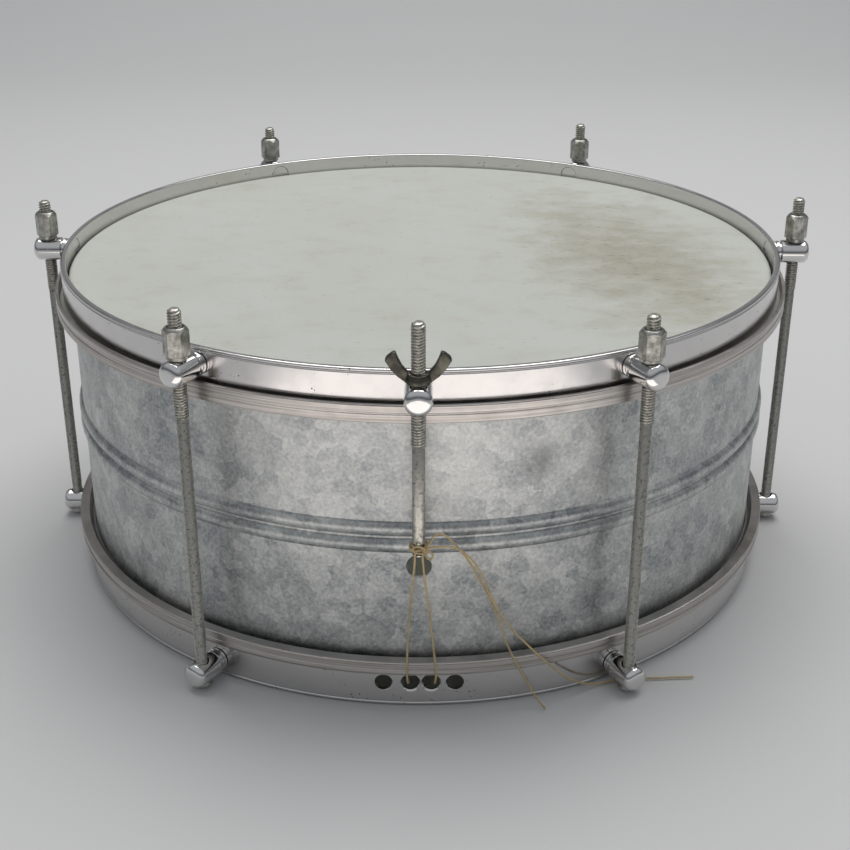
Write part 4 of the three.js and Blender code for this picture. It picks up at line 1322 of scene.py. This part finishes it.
class DRUM_OT_snare_rod(bpy.types.Operator):
    """Roll the snare rod's thread and turn the neck that the cord is tied round"""

    bl_idname = "drum.snare_rod"
    bl_label = "Snare rod"

    def execute(self, context):
        hardware = context.scene.drum_hardware
        finish = finish_of(worn_plating)
        low, high = floor_and_top("snare_rod")
        radius = hardware.rod_radius
        joint = high - low - hardware.snare_thread_length + 0.6 * MM
        outline = [
            (0.0, 0.0), (radius - 0.4 * MM, 0.0), (radius, 0.3 * MM), (radius, 0.9 * MM),
            (1.9 * MM, 1.1 * MM), (1.9 * MM, 5.7 * MM), (radius, 6.0 * MM),
            (radius, joint - 0.5 * MM), (radius - 0.35 * MM, joint), (0.0, joint)]
        rod = rod_mesh(thread_tree(), hardware, low, high, hardware.snare_thread_length, finish, outline)
        moved(rod, Matrix.Translation((SNARE_ROD.x, SNARE_ROD.y, 0.0)))
        piece("snare_rod_threaded", rod, finish, "snare_rod", ["snare_rod"], 50)
        return {"FINISHED"}


class DRUM_OT_nuts(bpy.types.Operator):
    """Cut the six tension nuts from hexagon bar, each on its own body"""

    bl_idname = "drum.nuts"
    bl_label = "Tension nuts"

    def execute(self, context):
        made = nut_mesh(context.scene.drum_hardware)
        finish = finish_of(dull_nickel)
        for i in STATIONS:
            name = f"tension_nut_{i}"
            spot = middle(name)
            turn = math.atan2(spot.x - AXIS.x, AXIS.y - spot.y)
            to_spot = Matrix.Translation((spot.x, spot.y, 0.0))
            nut = moved(made.copy(), Matrix.Rotation(turn, 4, "Z"), to_spot)
            piece(f"{name}_hexagon", nut, finish, name, [name], 30)
        return {"FINISHED"}


class DRUM_OT_wing_nut(bpy.types.Operator):
    """Cast the wing nut that draws the snare cord tight"""

    bl_idname = "drum.wing_nut"
    bl_label = "Wing nut"

    def execute(self, context):
        mesh = wing_mesh(context.scene.drum_hardware)
        spot = middle("wing_nut")
        moved(mesh, Matrix.Translation((spot.x, spot.y, 0.0)))
        piece("wing_nut_cast", mesh, finish_of(cast_bronze), "wing_nut", ["wing_nut"], 60)
        return {"FINISHED"}


BUILD_ORDER = [
    DRUM_OT_stage, DRUM_OT_cords, DRUM_OT_shell, DRUM_OT_heads, DRUM_OT_flesh_hoops,
    DRUM_OT_counterhoops, DRUM_OT_posts, DRUM_OT_screws, DRUM_OT_rods, DRUM_OT_snare_rod,
    DRUM_OT_nuts, DRUM_OT_wing_nut,
]


class DRUM_PT_panel(bpy.types.Panel):
    """The drum's build steps in the 3D view's sidebar"""

    bl_idname = "DRUM_PT_panel"
    bl_label = "Snare drum"
    bl_space_type = "VIEW_3D"
    bl_region_type = "UI"
    bl_category = "Drum"

    def draw(self, context):
        for step in BUILD_ORDER:
            self.layout.operator(step.bl_idname)


GROUPS = {
    "drum_sizes": DrumSizes,
    "drum_hardware": HardwareSizes,
    "drum_cord": CordSizes,
    "drum_colours": DrumColours,
}


def register():
    for kind in (*GROUPS.values(), *BUILD_ORDER, DRUM_PT_panel):
        bpy.utils.register_class(kind)
    for name, group in GROUPS.items():
        setattr(bpy.types.Scene, name, bpy.props.PointerProperty(type=group))


def unregister():
    for name in GROUPS:
        delattr(bpy.types.Scene, name)
    for kind in (DRUM_PT_panel, *BUILD_ORDER[::-1], *GROUPS.values()):
        bpy.utils.unregister_class(kind)


def corners(bounds):
    return [[float(value) for value in corner] for corner in bounds]


def main():
    register()
    for step in BUILD_ORDER:
        group, name = step.bl_idname.split(".")
        getattr(getattr(bpy.ops, group), name)()


if __name__ == "__main__":
    main()
